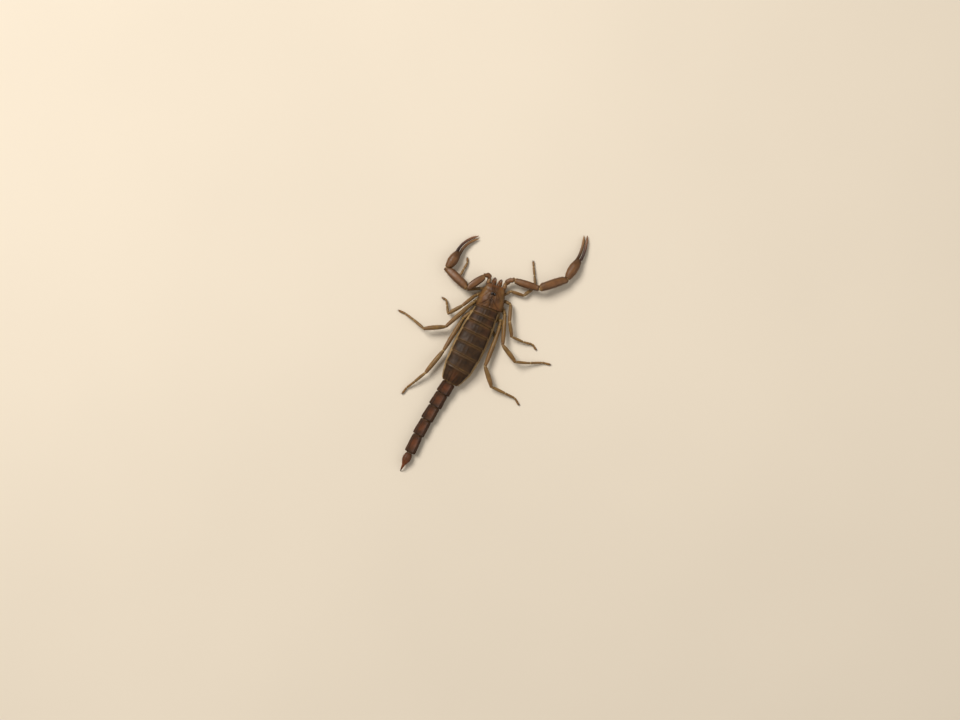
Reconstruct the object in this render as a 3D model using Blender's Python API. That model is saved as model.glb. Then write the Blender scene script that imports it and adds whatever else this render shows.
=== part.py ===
"""A bark scorpion (family Buthidae), life size, resting flat on the ground with its tail laid out behind.

Lengths below are in millimetres and become metres in one place, new_piece. The animal is drawn in its own
frame: +Y is the way the belly line runs forward, +X is its right side, +Z is up, and the ground is z = 0. The
drawing starts from the middle of the carapace's rear edge; the last step moves the whole animal so that the
origin is on the ground under the middle of its bounding box.
"""

import math

import bmesh
import bpy
from mathutils import Matrix, Vector

MM = 0.001
CUT = 0.10  # thin cut between neighbouring pieces
SIDES = {"left": -1, "right": 1}

# Prosoma, in its own frame: origin at the middle of the carapace's rear edge, +Y forward.
PROSOMA_YAW = 6.0  # degrees that the head end leans to the animal's left
CARAPACE_LENGTH = 5.4
CARAPACE_HALF_WIDTHS = ((0.0, 3.1), (0.3, 3.08), (0.6, 2.8), (0.85, 2.35), (1.0, 2.0))
CARAPACE_TOPS = ((0.0, 3.95), (0.3, 4.15), (0.6, 4.0), (0.82, 3.65), (1.0, 3.25))
CARAPACE_UNDERSIDES = ((0.0, 2.0), (0.72, 2.2), (0.8, 2.82), (1.0, 2.86))
OCULAR_TUBERCLE_Y = 3.3
OCULAR_TUBERCLE_HEIGHT = 0.22
OCULAR_TUBERCLE_RADIUS = 0.55
EYE_RADIUS = 0.25
EYE_SPREAD = 0.31  # of each median eye from the midline
EYE_SOCKET_CUT = 0.06
COXAE_FRONT_Y = 4.25
COXAE_REAR_Y = -2.7
COXAE_HALF_WIDTHS = ((0.0, 2.6), (0.2, 3.05), (0.45, 2.95), (0.7, 2.65), (0.88, 2.3), (1.0, 1.75))
COXAE_TOPS = ((0.0, 1.05), (0.3, 1.75), (1.0, 1.85))
COXAE_UNDERSIDES = ((0.0, 0.8), (0.3, 0.62), (0.8, 0.65), (1.0, 0.95))

# Mesosoma: seven segments, each with its length and the angle that it turns the body's midline by.
TERGITE_LENGTHS = (1.6, 2.0, 2.4, 2.7, 2.9, 3.1, 3.9)
TERGITE_YAWS = (1.5, -2.0, -2.0, -1.0, -2.0, -4.0, -6.5)
TRUNK_LENGTH = sum(TERGITE_LENGTHS)
TRUNK_START = (-0.25, -0.2)
TRUNK_HALF_WIDTHS = (  # each row of these tables is (share of the trunk's length from its front, size)
    (0.0, 2.95), (0.12, 3.2), (0.3, 3.6), (0.55, 3.72), (0.75, 3.5), (0.88, 2.9), (1.0, 1.85),
)
TRUNK_TOPS = ((0.0, 3.85), (0.3, 4.05), (0.55, 4.1), (0.75, 3.9), (0.9, 3.3), (1.0, 2.75))
TRUNK_FLANKS = ((0.0, 2.05), (0.3, 1.95), (0.75, 1.85), (1.0, 1.58))
TRUNK_BOTTOMS = (
    (0.0, 1.0), (0.15, 0.9), (0.3, 0.6), (0.46, -0.06), (0.8, -0.06), (0.92, 0.22), (1.0, 0.42),
)
PLATE_THICKNESS = 0.32
FLESH_DEPTH = PLATE_THICKNESS + CUT  # how far the flesh lies below the outer face of a plate
TERGITE_REACH = 62.0  # degrees from the crown to a tergite's side edge
STERNITE_REACH = 50.0  # degrees from the keel to a sternite's side edge
TERGITE_SPACING = 0.22  # bare membrane between two tergites
PLATE_STEP = 0.06  # a plate dips at its front edge and stands proud at its rear edge by this much
STERNITES_FROM = 0.17  # share of the trunk's length in front of the first sternite

# Metasoma (tail): five segments and the telson with its sting.
TAIL_LENGTHS = (2.9, 3.4, 3.6, 3.9, 4.4)
TAIL_YAWS = (-9.0, -6.5, -7.0, -5.0, -1.0)
TAIL_HALF_WIDTHS = (1.56, 1.52, 1.45, 1.36, 1.26)
TAIL_HALF_HEIGHTS = (1.25, 1.22, 1.18, 1.14, 1.08)
TAIL_HEIGHTS = (1.6, 1.36, 1.17, 1.13, 1.1, 1.05)  # of the midline above the ground at each joint
TAIL_SQUARENESS = 3.0  # the superellipse's power
TAIL_PROFILE = ((0.0, 0.8), (0.12, 0.95), (0.5, 0.98), (0.86, 1.02), (1.0, 0.86))
TELSON_YAW = -3.0
VESICLE_LENGTH = 3.2
VESICLE_HALF_WIDTH = 1.0
VESICLE_RISE = 0.28  # of its midline, from its front to the sting's root
VESICLE_PROFILE = ((0.0, 0.5), (0.12, 0.78), (0.38, 1.0), (0.62, 0.94), (0.84, 0.62), (1.0, 0.34))
STING_LENGTH = 2.2
STING_DROP = 62.0  # degrees that the sting curves down from its root to its point
STING_TIP_RADIUS = 0.13

# Legs. LEG_ROOTS are the coxae's ends in the prosoma's frame, for the right side. Each row of LEGS is a leg from
# I to IV: the ends of its trochanter, femur, patella and tibia, then the ends of its two tarsi.
LEG_ROOTS = ((2.35, 4.0), (2.8, 2.75), (3.12, 1.0), (3.6, -2.05))
LEG_ROOT_HEIGHT = 1.3
BASITARSUS_HEIGHT = 0.5
FOOT_HEIGHT = 0.26
LEGS = {
    "left": (
        ((-3.6, 3.4, 1.35), (-6.2, 2.0, 1.3), (-8.95, 3.6, 0.95), (-8.8, 5.9, 0.7), (-8.65, 7.6), (-9.3, 8.9)),
        ((-4.05, 1.3, 1.6), (-5.6, -1.8, 2.3), (-7.85, -4.8, 1.95), (-8.8, -3.2, 1.1), (-9.6, -2.05), (-10.95, -2.0)),
        ((-4.2, -1.1, 1.6), (-7.1, -7.7, 2.5), (-11.4, -10.1, 2.6), (-14.4, -9.25, 1.4), (-16.9, -8.7), (-18.75, -8.7)),
        ((-4.35, -4.4, 1.4), (-5.35, -12.8, 2.0), (-7.0, -19.0, 1.9), (-8.5, -22.0, 1.2), (-9.6, -24.0), (-10.0, -25.9)),
    ),
    "right": (
        ((2.95, 5.6, 1.35), (6.05, 5.95, 1.3), (7.55, 8.87, 0.95), (6.4, 11.1, 0.7), (5.45, 12.8), (4.65, 14.3)),
        ((4.15, 2.9, 1.6), (5.55, -0.8, 2.3), (7.4, -3.65, 1.95), (10.3, -3.65, 1.1), (12.4, -3.25), (13.9, -4.2)),
        ((4.0, 0.1, 1.6), (6.3, -6.2, 2.5), (10.45, -8.5, 2.6), (13.05, -7.6, 1.4), (16.3, -6.05), (18.3, -5.7)),
        ((4.2, -4.2, 1.5), (4.65, -12.2, 2.0), (7.9, -15.8, 1.9), (11.3, -15.9, 1.2), (13.75, -16.0), (15.5, -17.2)),
    ),
}
LEG_GIRTHS = (0.86, 0.92, 1.0, 1.05)  # leg I is the slimmest, leg IV the stoutest
TROCHANTER = (0.46, 0.52)  # half width and half height of each podomere
FEMUR = (0.44, 0.6)
PATELLA = (0.43, 0.58)
TIBIA = (0.34, 0.4)
BASITARSUS = (0.29, 0.31)
TELOTARSUS = (0.26, 0.27)

# Pedipalps, on the same plan: the coxa in the prosoma's frame, for the right side, then the trochanter's bend, the
# femur's start, the elbow, the wrist and the root of the fingers.
PALP_COXA = ((1.85, 4.65, 1.5), (1.95, 6.55, 1.9))
PALP_COXA_SIZE = (0.52, 0.72)
PALPS = {
    "left": ((-3.2, 6.95, 2.3), (-3.75, 6.15, 2.6), (-6.2, 2.2, 2.9), (-12.2, 4.4, 1.95), (-11.4, 8.8, 1.4)),
    "right": ((1.8, 7.75, 2.3), (2.75, 8.05, 2.6), (8.5, 8.7, 2.9), (13.3, 13.25, 1.95), (14.1, 18.35, 1.4)),
}
PALP_TROCHANTER = (0.66, 0.7)
PALP_FEMUR = (0.74, 0.7)
PALP_PATELLA = (0.95, 0.86)
WRIST_SCALE = 0.52
HAND_PROFILE = ((0.14, 0.72), (0.42, 1.0), (0.68, 0.96), (0.9, 0.72), (1.0, 0.66))
HAND = (1.18, 1.1)
FINGER_LENGTH = 6.0
FINGER = (0.36, 0.4)
FINGER_TIP = (0.25, 0.25)
FINGER_TURNS = {"left": (6.0, 60.0), "right": (3.0, -24.0)}  # headings at root and tip, clockwise from +Y
FINGER_SPREAD = {"left": (0.41, 0.32), "right": (0.41, 0.38)}  # half the distance between the two fingers
FINGER_TIP_HEIGHT = 0.5

CHELICERA_OFFSET = 0.66
CHELICERA_PROFILE = (  # (y, half width, half height, height of the centre)
    (4.4, 0.46, 0.44, 2.25),
    (5.0, 0.56, 0.54, 2.2),
    (5.8, 0.58, 0.6, 2.16),
    (6.5, 0.48, 0.48, 2.05),
    (7.15, 0.26, 0.28, 1.9),
)

PECTINE_ROOT = (0.5, -3.05)
PECTINE_TIP = (3.35, -5.5)
PECTINE_HALF_WIDTHS = ((0.0, 0.55), (0.3, 0.62), (0.8, 0.48), (1.0, 0.28))
PECTINE_HEIGHTS = (0.08, 0.58)

PODOMERE_PROFILE = ((0.0, 0.76), (0.2, 0.98), (0.55, 1.04), (0.82, 0.95), (1.0, 0.78))
BRIEF_PROFILE = ((0.0, 0.82), (0.5, 1.0), (1.0, 0.8))
TELOTARSUS_PROFILE = ((0.0, 0.9), (0.5, 1.0), (0.88, 0.98), (1.0, 0.62))
PALP_TROCHANTER_PROFILES = (BRIEF_PROFILE, ((0.0, 0.8), (1.0, 0.84)))
LEG_POINTS = 8  # round each cross-section
PALP_POINTS = 12
BODY_POINTS = 16

COLOURS = {  # base colour, roughness
    "dark_plate": ((0.052, 0.026, 0.014), 0.34),
    "carapace": ((0.105, 0.046, 0.02), 0.34),
    "membrane": ((0.32, 0.2, 0.09), 0.5),
    "leg": ((0.2, 0.115, 0.045), 0.38),
    "palp": ((0.14, 0.06, 0.024), 0.34),
    "finger": ((0.07, 0.026, 0.016), 0.3),
    "tail": ((0.06, 0.028, 0.013), 0.36),
    "eye": ((0.006, 0.005, 0.005), 0.08),
}


def clear_scene():
    for obj in list(bpy.data.objects):
        bpy.data.objects.remove(obj)


def material(name):
    """One Principled BSDF for each finish, made the first time that it is asked for."""
    if name in bpy.data.materials:
        return bpy.data.materials[name]
    colour, roughness = COLOURS[name]
    made = bpy.data.materials.new(name)
    made.use_nodes = True
    shader = made.node_tree.nodes["Principled BSDF"]
    shader.inputs["Base Color"].default_value = (*colour, 1.0)
    shader.inputs["Roughness"].default_value = roughness
    shader.inputs["Metallic"].default_value = 0.0
    made.diffuse_color = (*colour, 1.0)
    return made


def read(table, share):
    """The value that a table of (share, value) gives at a share, eased between its rows."""
    for (low, at_low), (high, at_high) in zip(table, table[1:]):
        if share <= high:
            t = max(0.0, (share - low) / (high - low))
            return at_low + (at_high - at_low) * t * t * (3 - 2 * t)
    return table[-1][1]


def turned(yaw, x, y):
    """A point turned about +Z by yaw degrees, anticlockwise from above."""
    c, s = math.cos(math.radians(yaw)), math.sin(math.radians(yaw))
    return x * c - y * s, x * s + y * c


def oval(angle, half_width, half_up, half_down, power=2.0):
    """A point of a superellipse: angle runs from the crown towards the right side."""
    s, c = math.sin(angle), math.cos(angle)
    side = math.copysign(abs(s) ** (2 / power), s) * half_width
    rise = math.copysign(abs(c) ** (2 / power), c) * (half_up if c > 0 else half_down)
    return side, rise


def ring(centre, along, half_width, half_height, points, power=2.3):
    """A cross-section of a limb at centre, square to along."""
    along = Vector(along).normalized()
    side = along.cross(Vector((0, 0, 1))).normalized()
    up = side.cross(along)
    ovals = [oval(2 * math.pi * n / points, half_width, half_height, half_height, power) for n in range(points)]
    return [Vector(centre) + side * s + up * r for s, r in ovals]


def new_piece(name, bm, finish, yaw=0.0, place=(0.0, 0.0)):
    """Closes a mesh in millimetres into a named object in metres, with its finish."""
    for vert in bm.verts:
        vert.co *= MM
    bmesh.ops.recalc_face_normals(bm, faces=bm.faces)
    mesh = bpy.data.meshes.new(name)
    bm.to_mesh(mesh)
    bm.free()
    mesh.materials.append(material(finish))
    mesh.shade_smooth()
    mesh.set_sharp_from_angle(angle=math.radians(50))
    obj = bpy.data.objects.new(name, mesh)
    bpy.context.scene.collection.objects.link(obj)
    obj.location = (place[0] * MM, place[1] * MM, 0.0)
    obj.rotation_euler = (0.0, 0.0, math.radians(yaw))
    return obj


def loft(rings):
    """A closed solid through rings of the same number of points. What lies below the ground is laid flat on it."""
    bm = bmesh.new()
    loops = [[bm.verts.new((p[0], p[1], max(p[2], 0.0))) for p in points] for points in rings]
    count = len(loops[0])
    for first, second in zip(loops, loops[1:]):
        for n in range(count):
            m = (n + 1) % count
            bm.faces.new((first[n], first[m], second[m], second[n]))
    bm.faces.new(loops[0])
    bm.faces.new(loops[-1][::-1])
    return bm


def halfway(before, after):
    """The direction square to the cut between two podomeres that run along before and after."""
    return (before.normalized() + after.normalized()).normalized()


def limb_piece(name, joints, first, last, sizes, profiles, finish, points, power=2.3):
    """The podomeres of a limb from joint first to joint last in one solid, with half a thin cut at each end."""
    joints = [Vector(j) for j in joints]
    ways = [b - a for a, b in zip(joints, joints[1:])]
    cuts = [ways[0].normalized()]
    cuts += [halfway(a, b) for a, b in zip(ways, ways[1:])]
    cuts.append(ways[-1].normalized())
    rings = []
    for n in range(first, last):
        start, way = joints[n], ways[n]
        half_width, half_height = sizes[n - first]
        for share, scale in profiles[n - first]:
            if share == 0.0 and n > first:
                continue  # the podomere before this one ended in the same ring
            centre = start + way * share
            square_to = cuts[n + int(share)] if share in (0.0, 1.0) else way
            if share == 0.0:
                centre = centre + square_to * CUT / 2
            elif share == 1.0 and n == last - 1:
                centre = centre - square_to * CUT / 2
            rings.append(ring(centre, square_to, half_width * scale, half_height * scale, points, power))
    return new_piece(name, loft(rings), finish)


def body_frames(lengths, yaws, start):
    """(place, yaw) of each segment's front end, walking back along the body from start, and the last one's rear."""
    place, found = Vector(start), []
    for length, yaw in zip(lengths, yaws):
        found.append((place.copy(), yaw))
        place -= Vector(turned(yaw, 0.0, length))
    found.append((place.copy(), yaws[-1]))
    return found


def trunk_point(share, angle, depth):
    """A point of the trunk's cross-section, this deep below its outer face, as (right, up)."""
    flank = read(TRUNK_FLANKS, share)
    side, rise = oval(
        angle,
        read(TRUNK_HALF_WIDTHS, share) - depth,
        read(TRUNK_TOPS, share) - flank - depth,
        flank - read(TRUNK_BOTTOMS, share) - depth,
        2.25,
    )
    return side, flank + rise


def band(share, low, high, depths, count):
    """One closed loop of a plate: its outer arc from angle low to high, and back along its inner arc."""
    outer_depth, inner_depth = depths
    angles = [math.radians(low + (high - low) * n / count) for n in range(count + 1)]
    outer = [trunk_point(share, a, outer_depth) for a in angles]
    inner = [trunk_point(share, a, inner_depth) for a in reversed(angles)]
    return outer + inner


def make_tergites(frames):
    """Seven plates over the back, each dipping under the one in front of it."""
    walked = 0.0
    for n, (length, (place, yaw)) in enumerate(zip(TERGITE_LENGTHS, frames)):
        rings = []
        for share in (0.0, 0.12, 0.55, 1.0):
            along = TERGITE_SPACING / 2 + (length - TERGITE_SPACING) * share
            depth = PLATE_STEP * (1 - 2 * share)
            loop = band(
                (walked + along) / TRUNK_LENGTH, -TERGITE_REACH, TERGITE_REACH, (depth, PLATE_THICKNESS), 10
            )
            rings.append([(x, -along, z) for x, z in loop])
        new_piece(f"tergite_{n + 1}", loft(rings), "dark_plate", yaw, place)
        walked += length


def along_trunk(frames, share):
    """(place, yaw) of the midline at a share of the trunk's length."""
    walked = share * TRUNK_LENGTH
    for n, length in enumerate(TERGITE_LENGTHS):
        if walked <= length or n == len(TERGITE_LENGTHS) - 1:
            place, yaw = frames[n]
            following = frames[n + 1][1]
            return place - Vector(turned(yaw, 0.0, walked)), yaw + (following - yaw) * walked / length
        walked -= length


def placed(place, yaw, x, z):
    offset = turned(yaw, x, 0.0)
    return place.x + offset[0], place.y + offset[1], z


def flesh_depth(degrees):
    """How far in the flesh lies: it makes room for the plates, and between them it swells out as the pleura."""
    from_crown = abs((degrees + 180) % 360 - 180)
    under_tergite = read(((TERGITE_REACH + 2, 1.0), (TERGITE_REACH + 22, 0.0)), from_crown)
    over_sternite = read(((180 - STERNITE_REACH - 20, 0.0), (180 - STERNITE_REACH - 2, 1.0)), from_crown)
    return FLESH_DEPTH * max(under_tergite, over_sternite)


def make_trunk(frames):
    """The soft body between the plates, over the leg coxae in front and the sternites behind."""
    points, steps, rings = 24, 14, []
    for n in range(steps + 1):
        share = 0.006 + (1.0 - 0.012) * n / steps
        place, yaw = along_trunk(frames, share)
        clear_of_coxae = read(((0.0, 1.98), (0.16, 1.8), (0.24, 0.0)), share)
        found = []
        for m in range(points):
            degrees = 360.0 * m / points
            x, z = trunk_point(share, math.radians(degrees), flesh_depth(degrees))
            found.append(placed(place, yaw, x, max(z, clear_of_coxae)))
        rings.append(found)
    new_piece("trunk", loft(rings), "membrane")


def make_sternites(frames):
    """The belly plates as one stepped shield, flat where it rests on the ground."""
    joints = [sum(TERGITE_LENGTHS[: n + 1]) / TRUNK_LENGTH for n in range(2, 7)]
    rings, start = [], STERNITES_FROM
    for end in joints:
        for share, step in ((0.02, 1.0), (0.5, 0.0), (0.98, -1.0)):
            along = start + (end - start) * share
            place, yaw = along_trunk(frames, along)
            loop = band(
                along, 180 - STERNITE_REACH, 180 + STERNITE_REACH, (PLATE_STEP * step, PLATE_THICKNESS), 8
            )
            rings.append([placed(place, yaw, x, z) for x, z in loop])
        start = end
    new_piece("sternites", loft(rings), "membrane")


def dome(y, share, half_widths, tops, undersides, points, power):
    """A loop of a domed solid with a flat underside: points over the crown, from edge to edge."""
    base = read(undersides, share)
    found = []
    for n in range(points + 1):
        angle = math.radians(-90 + 180 * n / points)
        x, rise = oval(angle, read(half_widths, share), read(tops, share) - base, 0.0, power)
        found.append(Vector((x, y, base + rise)))
    return found


def make_carapace():
    """The shield over the head, with the tubercle that carries the two median eyes."""
    rings = []
    for n in range(13):
        share = n / 12
        loop = dome(
            CARAPACE_LENGTH * share, share, CARAPACE_HALF_WIDTHS, CARAPACE_TOPS, CARAPACE_UNDERSIDES, 14, 2.3
        )
        for point in loop[1:-1]:
            away = math.hypot(point.x, point.y - OCULAR_TUBERCLE_Y) / OCULAR_TUBERCLE_RADIUS
            point.z += OCULAR_TUBERCLE_HEIGHT * math.exp(-away * away)
        rings.append(loop)
    carapace = new_piece("carapace", loft(rings), "carapace", PROSOMA_YAW)
    crown = read(CARAPACE_TOPS, OCULAR_TUBERCLE_Y / CARAPACE_LENGTH)
    for side, sign in SIDES.items():
        centre = (sign * EYE_SPREAD, OCULAR_TUBERCLE_Y, crown + OCULAR_TUBERCLE_HEIGHT * 0.55)
        socket = ball(f"socket_{side}", EYE_RADIUS + EYE_SOCKET_CUT, centre)
        socket.hide_render = True
        socket.display_type = "WIRE"
        cut = carapace.modifiers.new(f"socket_{side}", "BOOLEAN")
        cut.operation = "DIFFERENCE"
        cut.object = socket
        ball(f"eye_{side}", EYE_RADIUS, centre)


def ball(name, radius, centre):
    bm = bmesh.new()
    bmesh.ops.create_uvsphere(bm, u_segments=10, v_segments=6, radius=radius)
    bmesh.ops.translate(bm, verts=bm.verts, vec=centre)
    return new_piece(name, bm, "eye", PROSOMA_YAW)


def make_coxae():
    """The leg coxae and the breastplate between them, under the carapace."""
    length, rings = COXAE_FRONT_Y - COXAE_REAR_Y, []
    for n in range(9):
        share = n / 8
        base, top = read(COXAE_UNDERSIDES, share), read(COXAE_TOPS, share)
        half_width, middle = read(COXAE_HALF_WIDTHS, share), (base + top) / 2
        loop = [oval(2 * math.pi * m / 14, half_width, top - middle, middle - base, 3.0) for m in range(14)]
        rings.append([(x, COXAE_REAR_Y + length * share, middle + rise) for x, rise in loop])
    new_piece("coxae", loft(rings), "leg", PROSOMA_YAW)


def in_prosoma(sign, x, y, z):
    """A point given for the right side of the prosoma's frame, on the side that sign names, in the animal's frame."""
    px, py = turned(PROSOMA_YAW, sign * x, y)
    return px, py, z


def make_leg(side, number):
    """One leg in three solids: trochanter with femur, patella, and tibia with both tarsi."""
    sign, girth = SIDES[side], LEG_GIRTHS[number]
    joints = [in_prosoma(sign, *LEG_ROOTS[number], LEG_ROOT_HEIGHT)]
    joints += LEGS[side][number][:4]
    joints += [(*end, height) for end, height in zip(LEGS[side][number][4:], (BASITARSUS_HEIGHT, FOOT_HEIGHT))]
    name = f"leg_{number + 1}_{side}"
    sizes = [(w * girth, h * girth) for w, h in (TROCHANTER, FEMUR, PATELLA, TIBIA)]
    limb_piece(f"{name}_femur", joints, 0, 2, sizes[:2], (BRIEF_PROFILE, PODOMERE_PROFILE), "leg", LEG_POINTS)
    limb_piece(f"{name}_patella", joints, 2, 3, sizes[2:3], (PODOMERE_PROFILE,), "leg", LEG_POINTS)
    foot_sizes = (sizes[3], BASITARSUS, TELOTARSUS)
    foot_profiles = (PODOMERE_PROFILE, BRIEF_PROFILE, TELOTARSUS_PROFILE)
    limb_piece(f"{name}_foot", joints, 3, 6, foot_sizes, foot_profiles, "leg", LEG_POINTS)


def finger_line(side, hand_end, sign_of_offset):
    """Centres and directions along one finger, which runs on an arc from the end of the hand."""
    root, tip = FINGER_TURNS[side]
    near, far = FINGER_SPREAD[side]
    steps = 8
    place, found = Vector(hand_end), []
    for n in range(steps):
        share = n / (steps - 1)
        heading = math.radians(root + (tip - root) * share)
        way = Vector((math.sin(heading), math.cos(heading), 0.0))
        across = Vector((way.y, -way.x, 0.0)) * sign_of_offset
        height = hand_end[2] + (FINGER_TIP_HEIGHT - hand_end[2]) * share
        offset = near + (far - near) * share
        found.append((Vector((place.x, place.y, height)) + across * offset, way, share))
        place += way * FINGER_LENGTH / (steps - 1)
    return found


def finger_rings(line, cut):
    """The cross-sections of a finger along line, the first of them this far on from the hand."""
    rings = []
    for centre, way, share in line:
        half_width, half_height = (a + (b - a) * share for a, b in zip(FINGER, FINGER_TIP))
        if share == 0.0:
            centre = centre + way * cut
        rings.append(ring(centre, way, half_width, half_height, PALP_POINTS))
    return rings


def make_palp(side):
    """One pedipalp: coxa, trochanter, femur, patella, the hand with its fixed finger, and the movable finger."""
    sign = SIDES[side]
    coxa = [in_prosoma(sign, *p) for p in PALP_COXA]
    joints = coxa + list(PALPS[side])
    name = f"palp_{side}"
    rows = (
        ("coxa", 0, 1, (PALP_COXA_SIZE,), (BRIEF_PROFILE,)),
        ("trochanter", 1, 3, (PALP_TROCHANTER, PALP_TROCHANTER), PALP_TROCHANTER_PROFILES),
        ("femur", 3, 4, (PALP_FEMUR,), (PODOMERE_PROFILE,)),
        ("patella", 4, 5, (PALP_PATELLA,), (PODOMERE_PROFILE,)),
    )
    for part, first, last, sizes, profiles in rows:
        limb_piece(f"{name}_{part}", joints, first, last, sizes, profiles, "palp", PALP_POINTS)

    elbow, wrist, hand_end = (Vector(j) for j in joints[4:])
    way, cut = hand_end - wrist, halfway(wrist - elbow, hand_end - wrist)
    rings = [ring(wrist + cut * CUT / 2, cut, HAND[0] * WRIST_SCALE, HAND[1] * WRIST_SCALE, PALP_POINTS)]
    for share, scale in HAND_PROFILE:
        rings.append(ring(wrist + way * share, way, HAND[0] * scale, HAND[1] * scale, PALP_POINTS))
    rings += finger_rings(finger_line(side, hand_end, -sign), CUT)
    new_piece(f"{name}_hand", loft(rings), "palp")
    new_piece(f"{name}_movable_finger", loft(finger_rings(finger_line(side, hand_end, sign), CUT * 1.5)), "finger")


def make_chelicera(side):
    """A jaw between the pedipalps' coxae, reaching out from under the carapace."""
    sign, rings = SIDES[side], []
    for y, half_width, half_height, height in CHELICERA_PROFILE:
        centre = (sign * CHELICERA_OFFSET, y, height)
        rings.append(ring(centre, (0, 1, 0), half_width, half_height, PALP_POINTS))
    new_piece(f"chelicera_{side}", loft(rings), "carapace", PROSOMA_YAW)


def make_pectine(side):
    """A comb under the belly, from the midline out and back."""
    root, tip = (Vector(in_prosoma(SIDES[side], *end, 0.0)) for end in (PECTINE_ROOT, PECTINE_TIP))
    way, rings = tip - root, []
    low, high = PECTINE_HEIGHTS
    for n in range(7):
        share = n / 6
        centre = root + way * share + Vector((0, 0, (low + high) / 2))
        rings.append(ring(centre, way, read(PECTINE_HALF_WIDTHS, share), (high - low) / 2, 10, 3.5))
    new_piece(f"pectine_{side}", loft(rings), "membrane")


def make_tail(start):
    """Five ringed segments laid along the ground."""
    frames = body_frames(TAIL_LENGTHS, TAIL_YAWS, start)
    for n, ((front, yaw), (rear, _)) in enumerate(zip(frames, frames[1:])):
        joints = (Vector((*front, TAIL_HEIGHTS[n])), Vector((*rear, TAIL_HEIGHTS[n + 1])))
        size = (TAIL_HALF_WIDTHS[n], TAIL_HALF_HEIGHTS[n])
        way = joints[1] - joints[0]
        rings = []
        for share, scale in TAIL_PROFILE:
            centre = joints[0] + way * share
            if share == 0.0:
                centre += way.normalized() * CUT * 1.5
            rings.append(ring(centre, way, size[0] * scale, size[1] * scale, BODY_POINTS, TAIL_SQUARENESS))
        new_piece(f"tail_{n + 1}", loft(rings), "tail")
    return frames[-1][0]


def make_telson(start):
    """The vesicle and the sting, which leaves it level and curves down."""
    way = -Vector((*turned(TELSON_YAW, 0.0, 1.0), 0.0))
    place = Vector((*start, TAIL_HEIGHTS[-1]))
    rings = []
    for share, scale in VESICLE_PROFILE:
        centre = place + way * (VESICLE_LENGTH * share + (CUT * 1.5 if share == 0.0 else 0.0))
        centre.z += VESICLE_RISE * share * share
        half = VESICLE_HALF_WIDTH * scale
        rings.append(ring(centre, way, half, half * 1.04, BODY_POINTS))
    steps = 6
    centre = place + way * VESICLE_LENGTH + Vector((0, 0, VESICLE_RISE))
    for n in range(1, steps + 1):
        share = n / steps
        drop = math.radians(STING_DROP * share)
        along = way * math.cos(drop) - Vector((0, 0, math.sin(drop)))
        centre = centre + along * STING_LENGTH / steps
        radius = VESICLE_HALF_WIDTH * VESICLE_PROFILE[-1][1] * (1 - share) + STING_TIP_RADIUS * share
        rings.append(ring(centre, along, radius, radius, BODY_POINTS))
    new_piece("telson", loft(rings), "tail")


def stand_on_origin():
    """Moves the animal so that the origin is on the ground under the middle of its bounding box."""
    bpy.context.view_layer.update()
    pieces = [obj for obj in bpy.data.objects if obj.type == "MESH" and not obj.hide_render]
    corners = [obj.matrix_world @ Vector(v.co) for obj in pieces for v in obj.data.vertices]
    middle = [(min(c[n] for c in corners) + max(c[n] for c in corners)) / 2 for n in (0, 1)]
    root = bpy.data.objects.new("scorpion", None)
    bpy.context.scene.collection.objects.link(root)
    for obj in list(bpy.data.objects):
        if obj is not root:
            obj.parent = root
    root.matrix_world = Matrix.Translation((-middle[0], -middle[1], 0.0))


def main():
    clear_scene()
    make_carapace()
    make_coxae()
    frames = body_frames(TERGITE_LENGTHS, TERGITE_YAWS, TRUNK_START)
    make_tergites(frames)
    make_trunk(frames)
    make_sternites(frames)
    tail_end = make_tail(frames[-1][0])
    make_telson(tail_end)
    for side in SIDES:
        make_chelicera(side)
        make_palp(side)
        make_pectine(side)
        for number in range(4):
            make_leg(side, number)
    stand_on_origin()


main()
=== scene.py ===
"""A bark scorpion, life size, as a still museum model: the finished surfaces over its solids.

Each piece is read from the solid that it replaces, so its place and size follow the solids. Lengths are in
millimetres and areas in square millimetres unless a comment says otherwise. Angles are in radians, but those
of keels, of the smoothing round a line and of what is called degrees are in degrees.
"""

import heapq
import logging
import math
from dataclasses import dataclass, field, replace
from enum import Enum
from functools import cache
from typing import Iterable, NamedTuple

import bpy
import numpy as np
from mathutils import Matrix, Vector
from mathutils.bvhtree import BVHTree


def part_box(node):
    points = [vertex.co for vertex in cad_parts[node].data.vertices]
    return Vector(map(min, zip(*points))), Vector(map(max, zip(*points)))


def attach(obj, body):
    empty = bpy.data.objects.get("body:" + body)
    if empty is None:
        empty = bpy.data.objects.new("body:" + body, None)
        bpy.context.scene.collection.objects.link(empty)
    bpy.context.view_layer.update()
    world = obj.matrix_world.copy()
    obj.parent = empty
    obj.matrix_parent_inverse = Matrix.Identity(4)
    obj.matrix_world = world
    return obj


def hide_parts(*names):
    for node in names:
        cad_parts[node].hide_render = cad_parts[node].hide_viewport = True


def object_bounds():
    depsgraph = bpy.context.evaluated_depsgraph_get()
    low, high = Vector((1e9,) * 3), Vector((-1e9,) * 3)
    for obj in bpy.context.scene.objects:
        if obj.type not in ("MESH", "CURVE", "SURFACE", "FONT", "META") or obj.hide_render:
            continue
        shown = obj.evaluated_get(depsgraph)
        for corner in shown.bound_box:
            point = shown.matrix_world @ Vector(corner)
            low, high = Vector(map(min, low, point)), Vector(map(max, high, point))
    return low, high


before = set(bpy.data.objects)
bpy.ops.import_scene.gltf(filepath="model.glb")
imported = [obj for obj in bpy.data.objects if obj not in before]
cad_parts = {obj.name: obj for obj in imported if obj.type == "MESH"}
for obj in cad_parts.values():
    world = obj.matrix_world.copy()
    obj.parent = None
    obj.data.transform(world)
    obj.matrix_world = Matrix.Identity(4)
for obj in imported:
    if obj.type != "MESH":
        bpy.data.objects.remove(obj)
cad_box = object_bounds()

MM = 0.001
FAR = 9.0  # where rays that come from outside start
WAVES = 9  # that one ripple is made of
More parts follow.
